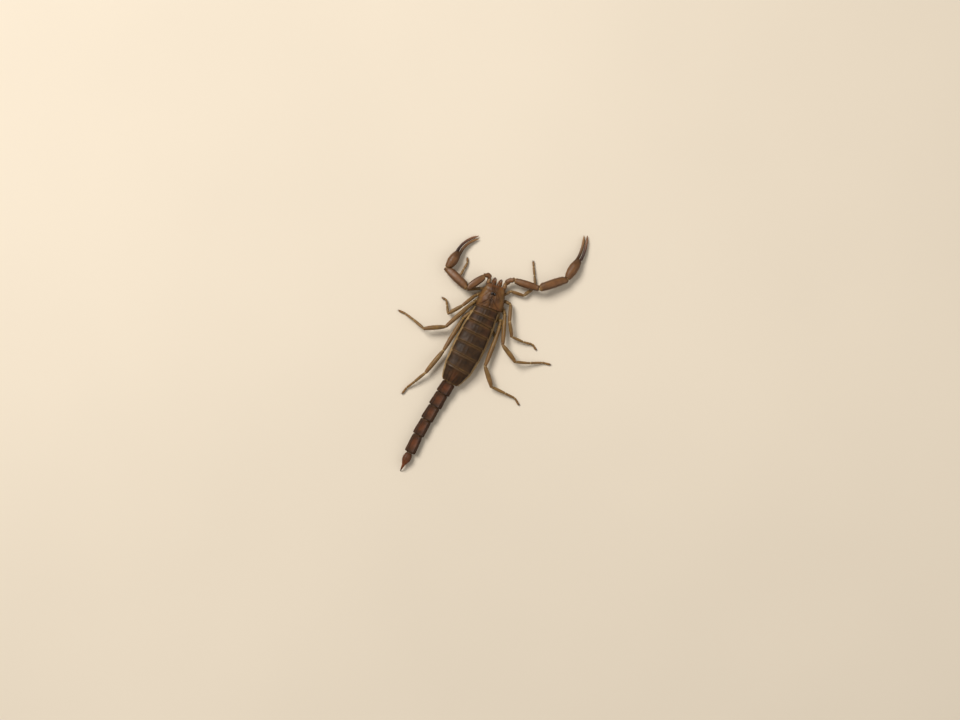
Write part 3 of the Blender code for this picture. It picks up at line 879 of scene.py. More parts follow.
class Finish(Enum):
    """The finishes, each with a material named after it."""

    DARK_PLATE = Cuticle(
        "dark_plate",
        (0.048, 0.0235, 0.009), (0.0155, 0.0085, 0.0042), (0.105, 0.035, 0.011), (0.16, 0.09, 0.034),
        roughness=0.46, mottle=700.0, mottling=0.8, pitting=0.03, coat=0.02, shine=0.14,
    )
    CARAPACE = Cuticle(
        "carapace",
        (0.126, 0.0545, 0.0155), (0.036, 0.0148, 0.005), (0.155, 0.05, 0.0135), (0.285, 0.157, 0.046),
        roughness=0.43, mottle=560.0, mottling=0.85, pitting=0.028, coat=0.03, shine=0.2,
    )
    LEG = Cuticle(
        "leg", (0.218, 0.124, 0.038), (0.092, 0.048, 0.0155), (0.195, 0.08, 0.024), (0.37, 0.247, 0.088),
        roughness=0.4, mottle=900.0, mottling=0.65, pitting=0.014, glow=0.1, coat=0.04, shine=0.25,
    )
    PALP = Cuticle(
        "palp", (0.15, 0.07, 0.023), (0.052, 0.023, 0.009), (0.17, 0.064, 0.02), (0.33, 0.19, 0.066),
        roughness=0.41, mottle=800.0, mottling=0.65, pitting=0.02, glow=0.05, coat=0.04, shine=0.28,
    )
    FINGER = Cuticle(
        "finger", (0.066, 0.025, 0.015), (0.024, 0.01, 0.008), (0.14, 0.045, 0.022), (0.25, 0.115, 0.045),
        roughness=0.38, mottle=900.0, mottling=0.5, pitting=0.014, glow=0.05, coat=0.05, shine=0.3,
    )
    TAIL = Cuticle(
        "tail", (0.055, 0.0225, 0.0085), (0.018, 0.008, 0.0038), (0.135, 0.04, 0.013), (0.165, 0.088, 0.03),
        roughness=0.44, mottle=760.0, mottling=0.75, pitting=0.028, coat=0.03, shine=0.18,
    )
    SEGMENT_SKIN = Membrane("membrane", (0.37, 0.24, 0.098), (0.22, 0.135, 0.052), (0.085, 0.045, 0.02))
    EYE = Lens("eye", (0.004, 0.003, 0.003))
    BRISTLE = Cuticle(
        "bristle", (0.2, 0.1, 0.04), (0.12, 0.055, 0.022), (0.22, 0.1, 0.04), (0.4, 0.26, 0.12),
        roughness=0.3, pitting=0.005, glow=0.0, coat=0.1,
    )

    def material(self) -> bpy.types.Material:
        """The finish's material, made the first time that it is asked for."""
        made = bpy.data.materials.get(f"{self.value.name}_finish") or self.value.material()
        made.name = f"{self.value.name}_finish"
        return made


# ---------------------------------------------------------------- small repeated forms


class Growth(Nodes):
    """A new Geometry Nodes tree in the making."""

    def __init__(self, name: str, *numbers: str, seeded: bool = True) -> None:
        """Makes the tree with its named inputs: the geometry, numbers, the seed and the finish."""
        super().__init__(bpy.data.node_groups.new(name, "GeometryNodeTree"))
        inputs = [("Geometry", "Geometry"), *((number, "Float") for number in numbers)]
        inputs += [("Seed", "Int")] * seeded + [("Finish", "Material")]
        for label, kind in inputs:
            self.tree.interface.new_socket(label, in_out="INPUT", socket_type=f"NodeSocket{kind}")
        self.tree.interface.new_socket("Geometry", in_out="OUTPUT", socket_type="NodeSocketGeometry")
        self.given = self.add("NodeGroupInput").outputs

    def kept(self, name: str, kind: str = "FLOAT_VECTOR") -> Socket:
        """What is kept on the geometry under a name."""
        return self.add("GeometryNodeInputNamedAttribute", {0: name}, data_type=kind).outputs[0]

    def keep(self, geometry: Socket, name: str, value: Socket, kind: str, domain: str) -> Socket:
        """The geometry with a value kept on it under a name."""
        inputs = {"Geometry": geometry, "Name": name, "Value": value}
        return self.add("GeometryNodeStoreNamedAttribute", inputs, data_type=kind, domain=domain).outputs[0]

    def moved(self, geometry: Socket, **move: Socket) -> Socket:
        """The geometry moved by an Offset or to a Position, smooth shaded."""
        there = self.add("GeometryNodeSetPosition", {"Geometry": geometry, **move}).outputs[0]
        return self.add("GeometryNodeSetShadeSmooth", {"Geometry": there}).outputs[0]

    def vector(self, x: object, y: object, z: object) -> Socket:
        """A vector of three numbers."""
        return self.add("ShaderNodeCombineXYZ", {0: x, 1: y, 2: z}).outputs[0]

    def height(self) -> tuple[Socket, Socket]:
        """The place of each point, and its height alone."""
        place = self.add("GeometryNodeInputPosition").outputs[0]
        return place, self.add("ShaderNodeSeparateXYZ", {0: place}).outputs[2]

    def scattered(self, method: str, inputs: Inputs) -> bpy.types.bpy_prop_collection:
        """Points over a surface, with their normals and turns."""
        return self.add("GeometryNodeDistributePointsOnFaces", inputs, distribute_method=method).outputs

    def chance(self, low: object, high: object) -> Socket:
        """A random number for each point."""
        inputs = {2: low, 3: high, "Seed": self.given["Seed"]}
        return self.add("FunctionNodeRandomValue", inputs, data_type="FLOAT").outputs[1]

    def lie(self, up: Socket, along: Socket | None = None, axis: str = "Y") -> Socket:
        """The turn that points a form's height one way and, round that, another axis along a second way."""
        upright = self.add("FunctionNodeAlignRotationToVector", {"Vector": up}, axis="Z").outputs[0]
        if along is None:
            return upright
        inputs = {"Rotation": upright, "Vector": along}
        return self.add("FunctionNodeAlignRotationToVector", inputs, axis=axis, pivot_axis="Z").outputs[0]

    def copies(self, points: Socket, form: Socket, rotation: Socket, scale: Socket, **only: Socket) -> Socket:
        """Instances of a form on points, or on a Selection of them."""
        inputs = {"Points": points, "Instance": form, "Rotation": rotation, "Scale": scale, **only}
        return self.add("GeometryNodeInstanceOnPoints", inputs).outputs[0]

    def joined(self, *parts: Socket) -> Socket:
        """Several geometries as one."""
        both = self.add("GeometryNodeJoinGeometry")
        for part in parts:
            self.tree.links.new(part, both.inputs[0])
        return both.outputs[0]

    def real(self, geometry: Socket) -> Socket:
        """The instances as geometry of their own."""
        return self.add("GeometryNodeRealizeInstances", {"Geometry": geometry}).outputs[0]

    def done(self, geometry: Socket) -> bpy.types.NodeTree:
        """The whole tree, which puts the finish on the geometry."""
        inputs = {"Geometry": geometry, "Material": self.given["Finish"]}
        self.add("NodeGroupOutput", {0: self.add("GeometryNodeSetMaterial", inputs).outputs[0]})
        return self.tree


def grown(tree: bpy.types.NodeTree, mesh: bpy.types.Mesh, values: dict[str, object]) -> bpy.types.Mesh:
    """What a Geometry Nodes tree makes of a mesh.

    Args:
        tree: The tree.
        mesh: The mesh that it starts from, which is used up.
        values: Value of each named input.

    Returns:
        A plain mesh that no modifier is on.
    """
    host = bpy.data.objects.new("host", mesh)
    bpy.context.scene.collection.objects.link(host)
    modifier = host.modifiers.new("Grown", "NODES")
    modifier.node_group = tree
    for item in tree.interface.items_tree:
        if getattr(item, "in_out", "") == "INPUT" and item.name in values:
            modifier[item.identifier] = values[item.name]
    bpy.context.view_layer.update()
    graph = bpy.context.evaluated_depsgraph_get()
    made = bpy.data.meshes.new_from_object(host.evaluated_get(graph), depsgraph=graph)
    host.modifiers.clear()
    bpy.data.objects.remove(host)
    bpy.data.meshes.remove(mesh)
    return made


def keep_vectors(mesh: bpy.types.Mesh, name: str, vectors: Array | Iterable[Array]) -> None:
    """Keeps a vector at each point of a mesh under a name."""
    attribute = mesh.attributes.new(name, "FLOAT_VECTOR", "POINT")
    attribute.data.foreach_set("vector", np.asarray(vectors, np.float32).reshape(-1))


@dataclass
class Granules:
    """Low rounded granules over a plate, and standing in rows where its points are marked for one.

    The fields are the named inputs of the tree, in millimetres.
    """

    spacing: float = 0.2
    smallest: float = 0.035
    largest: float = 0.07
    flatness: float = 0.6
    seed: int = 1

    @staticmethod
    @cache
    def tree() -> bpy.types.NodeTree:
        """The Geometry Nodes tree, built once."""
        nodes = Growth("Granules", "Spacing", "Smallest", "Largest", "Flatness")
        given = nodes.given
        inputs = {
            "Mesh": given["Geometry"],
            "Distance Min": given["Spacing"],
            "Density Max": 1e9,
            "Density Factor": nodes.kept(Mark.GRAIN.value, "FLOAT"),
            "Seed": given["Seed"],
        }
        scatter = nodes.scattered("POISSON", inputs)
        luck = nodes.chance(0.0, 1.0)
        more = nodes.sum("SUBTRACT", given["Largest"], given["Smallest"])
        size = nodes.sum("ADD", nodes.product(nodes.product(luck, luck), more), given["Smallest"])
        grain = nodes.add("GeometryNodeMeshUVSphere", {"Segments": 8, "Rings": 4, "Radius": 1.0}).outputs[0]
        grain = nodes.add("GeometryNodeSetShadeSmooth", {"Geometry": grain}).outputs[0]

        def stretched(radius: Socket) -> Socket:
            """The scale of a granule of that radius."""
            return nodes.vector(radius, radius, nodes.product(radius, given["Flatness"]))

        spread = nodes.copies(scatter["Points"], grain, scatter["Rotation"], stretched(size))
        bead = nodes.kept(Mark.BEAD.value, "FLOAT")
        above = {"data_type": "FLOAT", "operation": "GREATER_THAN"}
        wanted = nodes.add("FunctionNodeCompare", {0: bead, 1: 1e-6}, **above).outputs[0]
        upright = nodes.lie(nodes.add("GeometryNodeInputNormal").outputs[0])
        scale = stretched(nodes.product(bead, MM))
        rows = nodes.copies(given["Geometry"], grain, upright, scale, Selection=wanted)
        return nodes.done(nodes.joined(nodes.real(nodes.joined(rows, spread)), given["Geometry"]))

    def over(self, mesh: bpy.types.Mesh, finish: Finish) -> bpy.types.Mesh:
        """The mesh with its granules, as one plain mesh."""
        values = {
            "Spacing": self.spacing * MM,
            "Smallest": self.smallest * MM,
            "Largest": self.largest * MM,
            "Flatness": self.flatness,
            "Seed": self.seed,
            "Finish": finish.material(),
        }
        return grown(self.tree(), mesh, values)


@dataclass
class Lobes:
    """Many small egg-shaped forms, such as a comb's teeth or denticles, each with its own size and lie."""

    forms: list[tuple[Array, Array, Array, Array, float]] = field(default_factory=list)

    def put(self, place: Array, out: Array, along: Array, size: Triple, dark: float = 0.0) -> None:
        """Adds one form.

        Args:
            place: Its middle.
            out: The way its height points.
            along: The way its length points.
            size: Half its width, length and height.
            dark: How dark it is.
        """
        self.forms.append((place * MM, unit(out), unit(along), np.array(size) * MM, dark))

    @staticmethod
    @cache
    def tree() -> bpy.types.NodeTree:
        """The Geometry Nodes tree, built once."""
        nodes = Growth("Lobes", "Taper", seeded=False)
        ball = nodes.add("GeometryNodeMeshUVSphere", {"Segments": 8, "Rings": 6, "Radius": 1.0}).outputs[0]
        place, height = nodes.height()
        slim = nodes.sum("SUBTRACT", 1.0, nodes.product(nodes.span(height, -0.4, 1.0), nodes.given["Taper"]))
        inputs = {0: place, 1: nodes.vector(slim, slim, 1.0)}
        there = nodes.add("ShaderNodeVectorMath", inputs, operation="MULTIPLY").outputs[0]
        lobe = nodes.moved(ball, Position=there)
        lying = nodes.lie(nodes.kept("out"), nodes.kept("along"))
        return nodes.done(nodes.real(nodes.copies(nodes.given["Geometry"], lobe, lying, nodes.kept("size"))))

    def mesh(self, taper: float, finish: Finish) -> bpy.types.Mesh:
        """All the forms as one plain mesh."""
        places, outs, alongs, sizes, darks = zip(*self.forms)
        host = bpy.data.meshes.new("lobes")
        host.from_pydata([place.tolist() for place in places], [], [])
        for name, values in (("out", outs), ("along", alongs), ("size", sizes)):
            keep_vectors(host, name, values)
        attribute = host.attributes.new(Mark.DARK.value, "FLOAT", "POINT")
        attribute.data.foreach_set("value", np.array(darks, np.float32))
        return grown(self.tree(), host, {"Taper": taper, "Finish": finish.material()})


# ---------------------------------------------------------------- pieces


def merged(name: str, meshes: list[bpy.types.Mesh]) -> bpy.types.Mesh:
    """Several plain meshes as one."""
    parts = [bpy.data.objects.new(f"{name}_{n}", mesh) for n, mesh in enumerate(meshes)]
    for part in parts:
        bpy.context.scene.collection.objects.link(part)
    chosen = {"selected_editable_objects": parts, "selected_objects": parts}
    with bpy.context.temp_override(active_object=parts[0], **chosen):
        bpy.ops.object.join()
    made = parts[0].data
    bpy.data.objects.remove(parts[0])
    return made


def piece(name: str, mesh: bpy.types.Mesh, finish: Finish, *replaced: str, slot: str = "") -> None:
    """Puts a finished mesh in the scene, on the body, in place of its solids.

    Args:
        name: The piece's name.
        mesh: Its mesh, in metres.
        finish: Its finish.
        *replaced: The solids that it stands for.
        slot: Not used.
    """
    if not mesh.materials:
        mesh.materials.append(finish.material())
    mesh.name = name
    made = bpy.data.objects.new(name, mesh)
    bpy.context.scene.collection.objects.link(made)
    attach(made, "root")
    if replaced:
        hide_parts(*replaced)
    mesh.calc_loop_triangles()
    log.info("%s: %d triangles", name, len(mesh.loop_triangles))


def beaded(name: str, surface: Surface, finish: Finish, granules: Granules) -> None:
    """The piece that replaces one solid: a surface with its granules."""
    piece(name, granules.over(surface.mesh(name), finish), finish, name)


@dataclass(frozen=True)
class Keel:
    """A raised line along a segment, on both sides of it unless it is alone or runs along the middle."""

    angle: float
    height: float = 0.07
    width: float = 0.1
    bead: float = 0.05  # radius of its granules, or 0 for a smooth line
    pitch: float = 0.2
    start: float = 0.07
    end: float = 0.95
    dark: float = 0.7
    alone: bool = False

    @property
    def angles(self) -> list[float]:
        """The angle of each of its lines."""
        return [self.angle] if self.alone or self.angle in (0, 180) else [self.angle, -self.angle]


def carve_keels(grid: Grid, keels: Iterable[Keel], seed: int) -> Array:
    """The heights of the keels over a segment, which also gets their marks."""
    dice = np.random.default_rng(seed)
    heights = np.zeros(grid.points.shape[:2])
    beads = np.zeros(grid.points.shape[:2])
    for keel, angle in ((keel, angle) for keel in keels for angle in keel.angles):
        line = bell(grid.arc(angle), keel.width) * between(grid.share, keel.start, keel.end, 0.03)
        wave = 0.72 + 0.28 * np.cos(2 * np.pi * grid.stations / keel.pitch)[:, None]
        heights += keel.height * line * wave
        grid.mark(Mark.DARK, keel.dark * line)
        if keel.bead:
            column = int(np.abs(turn(grid.angles - math.radians(angle))).argmin())
            for station in np.arange(keel.start * grid.length, keel.end * grid.length, keel.pitch):
                beads[np.abs(grid.stations - station).argmin(), column] = keel.bead * dice.uniform(0.75, 1.2)
    grid.mark(Mark.BEAD, beads)
    return heights


class Ring(NamedTuple):
    """A ring square to a limb's middle line."""

    middle: Array
    way: Array
    radius: float

    def back(self, distance: float, scale: float = 1.0) -> "Ring":
        """The ring moved back along its way, at a share of its size."""
        return Ring(self.middle - self.way * distance, self.way, self.radius * scale)


@dataclass
class Limb:
    """One segment of a limb or of the tail, read from its solid."""

    node: str
    before: str | Array
    spread: float = 0.2
    soft: float = 14.0
    inset: float = 0.3
    after: str = ""  # the next solid, for a short thick one

    def __post_init__(self) -> None:
        """Reads the solid's middle line and its girth."""
        if self.after:
            self.line = straight_line(self.node, self.before, self.after)
        else:
            self.line = find_line(self.node, self.before)
        inset = min(self.inset, 0.25 * self.line.length)
        smooth = {"spread": self.spread, "soft": self.soft}
        self.field = read_field(self.line, solid(self.node), 0.12, 72, inset, **smooth)

    def girth(self, station: float) -> float:
        """The mean distance from the middle to the surface at a station."""
        return float(self.field.at(np.array([station]), self.field.angles).mean())

    def grid(self, step: float, caps: tuple[float, float], trim: tuple[float, float] = (0.0, 0.0)) -> Grid:
        """The segment's surface as rings with rounded ends.

        Args:
            step: Distance between points.
            caps: Depth of the rounding at the start and at the end.
            trim: How much is left off at the start and at the end.

        Returns:
            The rings.
        """
        length = self.line.length - trim[0] - trim[1]
        local, girth = cap_stations(length, step, caps)
        stations = local + trim[0]
        angles = self.field.even_angles(-np.pi, np.pi, step)[:-1]
        radii = self.field.at(stations[:, None], angles[None, :])
        points = self.line.rings(stations, angles, radii * girth[:, None])
        return Grid(points, local, angles, radii, length)

    def collar(self, station: float, scale: float) -> Ring:
        """A ring inside the segment, for a joint's membrane; a station below 0 is one from the end."""
        station += self.line.length if station < 0 else 0.0
        middle, way, _, _ = self.line.at(station)
        return Ring(middle[0], way[0], self.girth(station) * scale)

    def root(self) -> Ring:
        """The ring where the segment leaves what is before it."""
        middle, way, _, _ = self.line.at(0.0)
        return Ring(middle[0], way[0], self.girth(0.3))


def sleeve(first: Ring, last: Ring) -> Surface:
    """The membrane of a joint: a closed tube with soft folds, from inside one segment to inside the next."""
    (a, way_a, radius_a), (b, way_b, radius_b) = first, last
    reach = np.linalg.norm(b - a)
    share = np.linspace(0, 1, 17)[:, None]
    line = Line(
        (2 * share**3 - 3 * share**2 + 1) * a + (share**3 - 2 * share**2 + share) * way_a * reach
        + (3 * share**2 - 2 * share**3) * b + (share**3 - share**2) * way_b * reach
    )
    stations, girth = cap_stations(line.length, max(line.length / 22, 0.03), (0.05, 0.05))
    radius = np.interp(stations / line.length, [0, 1], [radius_a, radius_b]) * girth
    radius = radius * (1 + 0.04 * np.sin(stations / 0.16 * 2 * np.pi))
    return closed(line.rings(stations, round_angles(24), radius[:, None]))


@dataclass
class Coat:
    """The sparse bristles of one region, grown from copies of the surfaces that carry them.

    Each surface gets its own tile of one map, so that a bristle's patch lies where its root is.
    """

    name: str
    density: float  # bristles for each square millimetre
    shortest: float
    longest: float
    stoutness: float  # radius of a bristle's root for each unit of its length
    seed: int
    lean: float = 0.9  # how far the bristles lie over, for each unit that they stand up
    margin: float = 0.02  # round each tile of the map
    sheets: list[Array] = field(default_factory=list)

    def carry(self, grid: Grid, first: float, last: float, stride: int = 2) -> None:
        """Lets bristles grow on a segment, between two shares of its length."""
        kept = (grid.share[:, 0] >= first) & (grid.share[:, 0] <= last)
        rows = grid.points[kept][::stride]
        if len(rows) >= 3:
            self.sheets.append(np.concatenate([rows, rows[:, :1]], axis=1))

    @staticmethod
    @cache
    def tree() -> bpy.types.NodeTree:
        """The Geometry Nodes tree, built once."""
        nodes = Growth("Bristles", "Density", "Shortest", "Longest", "Stoutness", "Lean")
        given = nodes.given

        def vector(operation: str, first: Socket, second: Socket) -> Socket:
            """One step of vector arithmetic."""
            return nodes.add("ShaderNodeVectorMath", {0: first, 1: second}, operation=operation).outputs[0]

        def scaled(name: str, scale: object) -> Socket:
            """A vector kept on the surface, made longer or shorter."""
            inputs = {0: nodes.kept(name), "Scale": scale}
            return nodes.add("ShaderNodeVectorMath", inputs, operation="SCALE").outputs[0]

        inputs = {"Mesh": given["Geometry"], "Density": given["Density"], "Seed": given["Seed"]}
        scatter = nodes.scattered("RANDOM", inputs)
        roots = nodes.keep(scatter["Points"], "root", nodes.kept("OFBake"), "FLOAT_VECTOR", "POINT")
        inputs = {"Vertices": 4, "Side Segments": 4, "Fill Segments": 1, "Radius Top": 0.0, "Depth": 1.0}
        inputs["Radius Bottom"] = given["Stoutness"]
        cone = nodes.add("GeometryNodeMeshCone", inputs, fill_type="NGON").outputs
        patch = nodes.keep(cone[0], "patch", cone["UV Map"], "FLOAT_VECTOR", "CORNER")
        _, height = nodes.height()
        bend = nodes.product(nodes.product(height, height), 0.28)
        hair = nodes.moved(patch, Offset=nodes.vector(bend, 0.0, nodes.product(bend, -0.35)))
        inputs = {0: (-0.3, -0.3, -0.3), 1: (0.3, 0.3, 0.3), "Seed": given["Seed"]}
        wild = nodes.add("FunctionNodeRandomValue", inputs, data_type="FLOAT_VECTOR").outputs[0]
        aim = vector("ADD", vector("ADD", scatter["Normal"], scaled("lie", given["Lean"])), wild)
        lying = nodes.lie(aim, nodes.kept("lie"), "X")
        size = nodes.chance(given["Shortest"], given["Longest"])
        real = nodes.real(nodes.copies(roots, hair, lying, size))
        place = vector("ADD", nodes.kept("root"), scaled("patch", 0.003))
        return nodes.done(nodes.keep(real, "OFBake", place, "FLOAT2", "CORNER"))

    def build(self, low: Array, high: Array) -> None:
        """Grows the bristles as one piece, inside the box between two corners."""
        across = math.ceil(math.sqrt(len(self.sheets)))
        points, faces, maps, lies, count = [], [], [], [], 0
        for n, rows in enumerate(self.sheets):
            size = rows.shape[:2]
            faces.append(cells(np.arange(size[0] * size[1]).reshape(size) + count))
            v, u = np.meshgrid(*(np.linspace(self.margin, 1 - self.margin, k) for k in size), indexing="ij")
            tile = np.array((n % across, n // across))
            maps.append((np.stack([u, v], axis=-1).reshape(-1, 2) + tile) / across)
            points.append(rows.reshape(-1, 3))
            lies.append(unit(np.gradient(rows, axis=0)).reshape(-1, 3))
            count += size[0] * size[1]
        host = bpy.data.meshes.new(self.name)
        faces = np.concatenate(faces)
        host.from_pydata((np.concatenate(points) * MM).tolist(), [], faces.tolist())
        layer = host.uv_layers.new(name="OFBake")
        layer.uv.foreach_set("vector", np.concatenate(maps)[faces.reshape(-1)].astype(np.float32).reshape(-1))
        keep_vectors(host, "lie", np.concatenate(lies))
        values = {
            "Density": self.density / MM**2,
            "Shortest": self.shortest * MM,
            "Longest": self.longest * MM,
            "Stoutness": self.stoutness,
            "Lean": self.lean,
            "Seed": self.seed,
            "Finish": Finish.BRISTLE.material(),
        }
        mesh = grown(self.tree(), host, values)
        places = np.empty(len(mesh.vertices) * 3)
        mesh.vertices.foreach_get("co", places)
        mesh.vertices.foreach_set("co", np.clip(places.reshape(-1, 3), low, high).reshape(-1))
        piece(self.name, mesh, Finish.BRISTLE, slot="leg")


def carve_joint(grid: Grid, station: float, girth: float) -> Array:
    """The waist of a joint inside one solid, as heights; its membrane and rims get their marks."""
    off = grid.along - station
    waist, rims = bell(off, 0.13), bell(off + 0.3, 0.15) + bell(off - 0.3, 0.15)
    grid.mark(Mark.PALE, 0.9 * waist)
    grid.mark(Mark.DARK, 0.4 * rims)
    return girth * (0.09 * rims - 0.26 * waist)


def swelling(share: Array) -> Array:
    """How much fuller a segment is along its length: 0 at its ends, 1 in the middle."""
    return np.sin(np.pi * share).clip(0) ** 0.6


# ---------------------------------------------------------------- tail


@dataclass
class Tail:
    """The five keeled segments and the telson with its sting."""

    step: float = 0.07
    furrow: float = 0.11  # depth of the groove along the top of each segment
    clear: float = 0.04  # how far the granules beneath hold a segment off the floor
    sleeves: list[Surface] = field(default_factory=list)

    def __post_init__(self) -> None:
        """Reads the solids from the trunk back to the sting."""
        nodes = ["tergite_7", *(f"tail_{n}" for n in range(1, 6)), "telson"]
        self.limbs = [
            Limb(node, before, spread=0.15, soft=7.0, after=after)
            for before, node, after in zip(nodes, nodes[1:], nodes[2:])
        ]
        self.limbs.append(Limb("telson", "tail_5", spread=0.12, soft=10.0, inset=0.08))

    def segment(self, number: int, coat: Coat) -> None:
        """One segment: furrowed above, keeled at its corners, flared where the next one joins."""
        grid = self.limbs[number - 1].grid(self.step, (0.16, 0.2), (-0.08, -0.1))
        degrees, aside, share, last = grid.degrees, np.abs(grid.degrees), grid.share, number == 5
        body = between(share, 0.08, 0.93, 0.04)
        keels = [Keel(38, 0.1, 0.13, 0.06, dark=0.55), Keel(67, 0.07, 0.12, dark=0.55)]
        if number <= 2:
            keels.append(Keel(97, 0.06, bead=0.042, start=0.1 if number == 1 else 0.55))
        keels.append(Keel(130, 0.1, 0.13, 0.055))
        keels.append(Keel(180, 0.08, 0.12) if last else Keel(160, 0.07, 0.11, 0.048))
        heights = carve_keels(grid, keels, number)
        heights -= self.furrow * np.cos(np.radians(np.clip(degrees * 90 / 38, -90, 90))) ** 1.3 * body
        for middle in (52, 82, 113, 145):
            heights -= 0.035 * bell(aside - middle, 9) * body
        heights += 0.07 * bell(share - 0.9, 0.055) - 0.08 * bell(share - 0.055, 0.035)
        heights += 0.05 * bell(share - 0.965, 0.02) * bell(aside - 92, 26)
        heights += 0.012 * ripple(grid.points, 0.55, number)
        grid.raise_by(heights)
        grid.points[..., 2] = np.maximum(grid.points[..., 2], self.clear)
        grid.mark(Mark.GRAIN, 0.5 * body * (aside < 126) * (aside > 6))
        red = bell(share - 0.45, 0.26) * bell(aside - 12, 26) * (0.95 if last else 0.7)
        grid.mark(Mark.RUDDY, np.clip(red + 0.35 * (aside > 130), 0, 1))
        grid.mark(Mark.PALE, 0.25 * bell(share - 0.02, 0.03) + 0.2 * bell(share - 0.99, 0.03))
        grid.mark(Mark.DARK, 0.55 * bell(share - 0.93, 0.04) + 0.4 * bell(share - 0.09, 0.03))
        coat.carry(grid, 0.1, 0.95)
        beaded(f"tail_{number}", grid.tube(), Finish.TAIL, Granules(0.2, 0.026, 0.05, seed=10 + number))

    def telson(self, coat: Coat) -> None:
        """The vesicle, the tubercle under the sting, and the sting, dark towards its point."""
        grid = self.limbs[5].grid(0.05, (0.3, 0.12))
        s, degrees, aside = grid.along, grid.degrees, np.abs(grid.degrees)
        root = 0.6 * grid.length
        keels = [
            Keel(180, 0.05, 0.12, 0.04, start=0.1, end=0.5),
            Keel(140, 0.045, bead=0.038, start=0.1, end=0.46),
        ]
        heights = carve_keels(grid, keels, 6)
        below = bell(turn(np.radians(degrees - 180)), 0.42)
        heights += 0.3 * below * bell(s - root * 0.93, 0.16)
        heights -= 0.05 * bell(s - root * 1.03, 0.12) * ease(aside, 60, 150)
        heights -= 0.05 * bell(degrees, 14) * between(grid.share, 0.08, 0.5, 0.06)
        heights -= 0.34 * ease(s, root, grid.length) * grid.radii
        heights += 0.012 * ripple(grid.points, 0.4, 7)
        grid.raise_by(heights)
        grid.mark(Mark.GRAIN, 0.35 * between(grid.share, 0.08, 0.5, 0.05) * (aside > 50))
        grid.mark(Mark.DARK, ease(s, root * 1.15, root * 1.5))
        grid.mark(Mark.RUDDY, 0.8 * ease(s, root * 0.4, root) + 0.45)
        coat.carry(grid, 0.08, 0.62, 1)
        beaded("telson", grid.tube(), Finish.TAIL, Granules(0.24, 0.022, 0.04, seed=20))

    def build(self, trunk: Ring, coat: Coat) -> None:
        """Builds every segment, and the membranes between them.

        Args:
            trunk: The ring inside the trunk's rear end.
            coat: The bristles of the tail.
        """
        before = trunk
        for limb in self.limbs:
            self.sleeves.append(sleeve(before, limb.collar(0.45, 0.66)).mark(Mark.DARK, 1.0))
            before = limb.collar(-0.45, 0.66)
        for number in range(1, 6):
            self.segment(number, coat)
        self.telson(coat)


# ---------------------------------------------------------------- legs


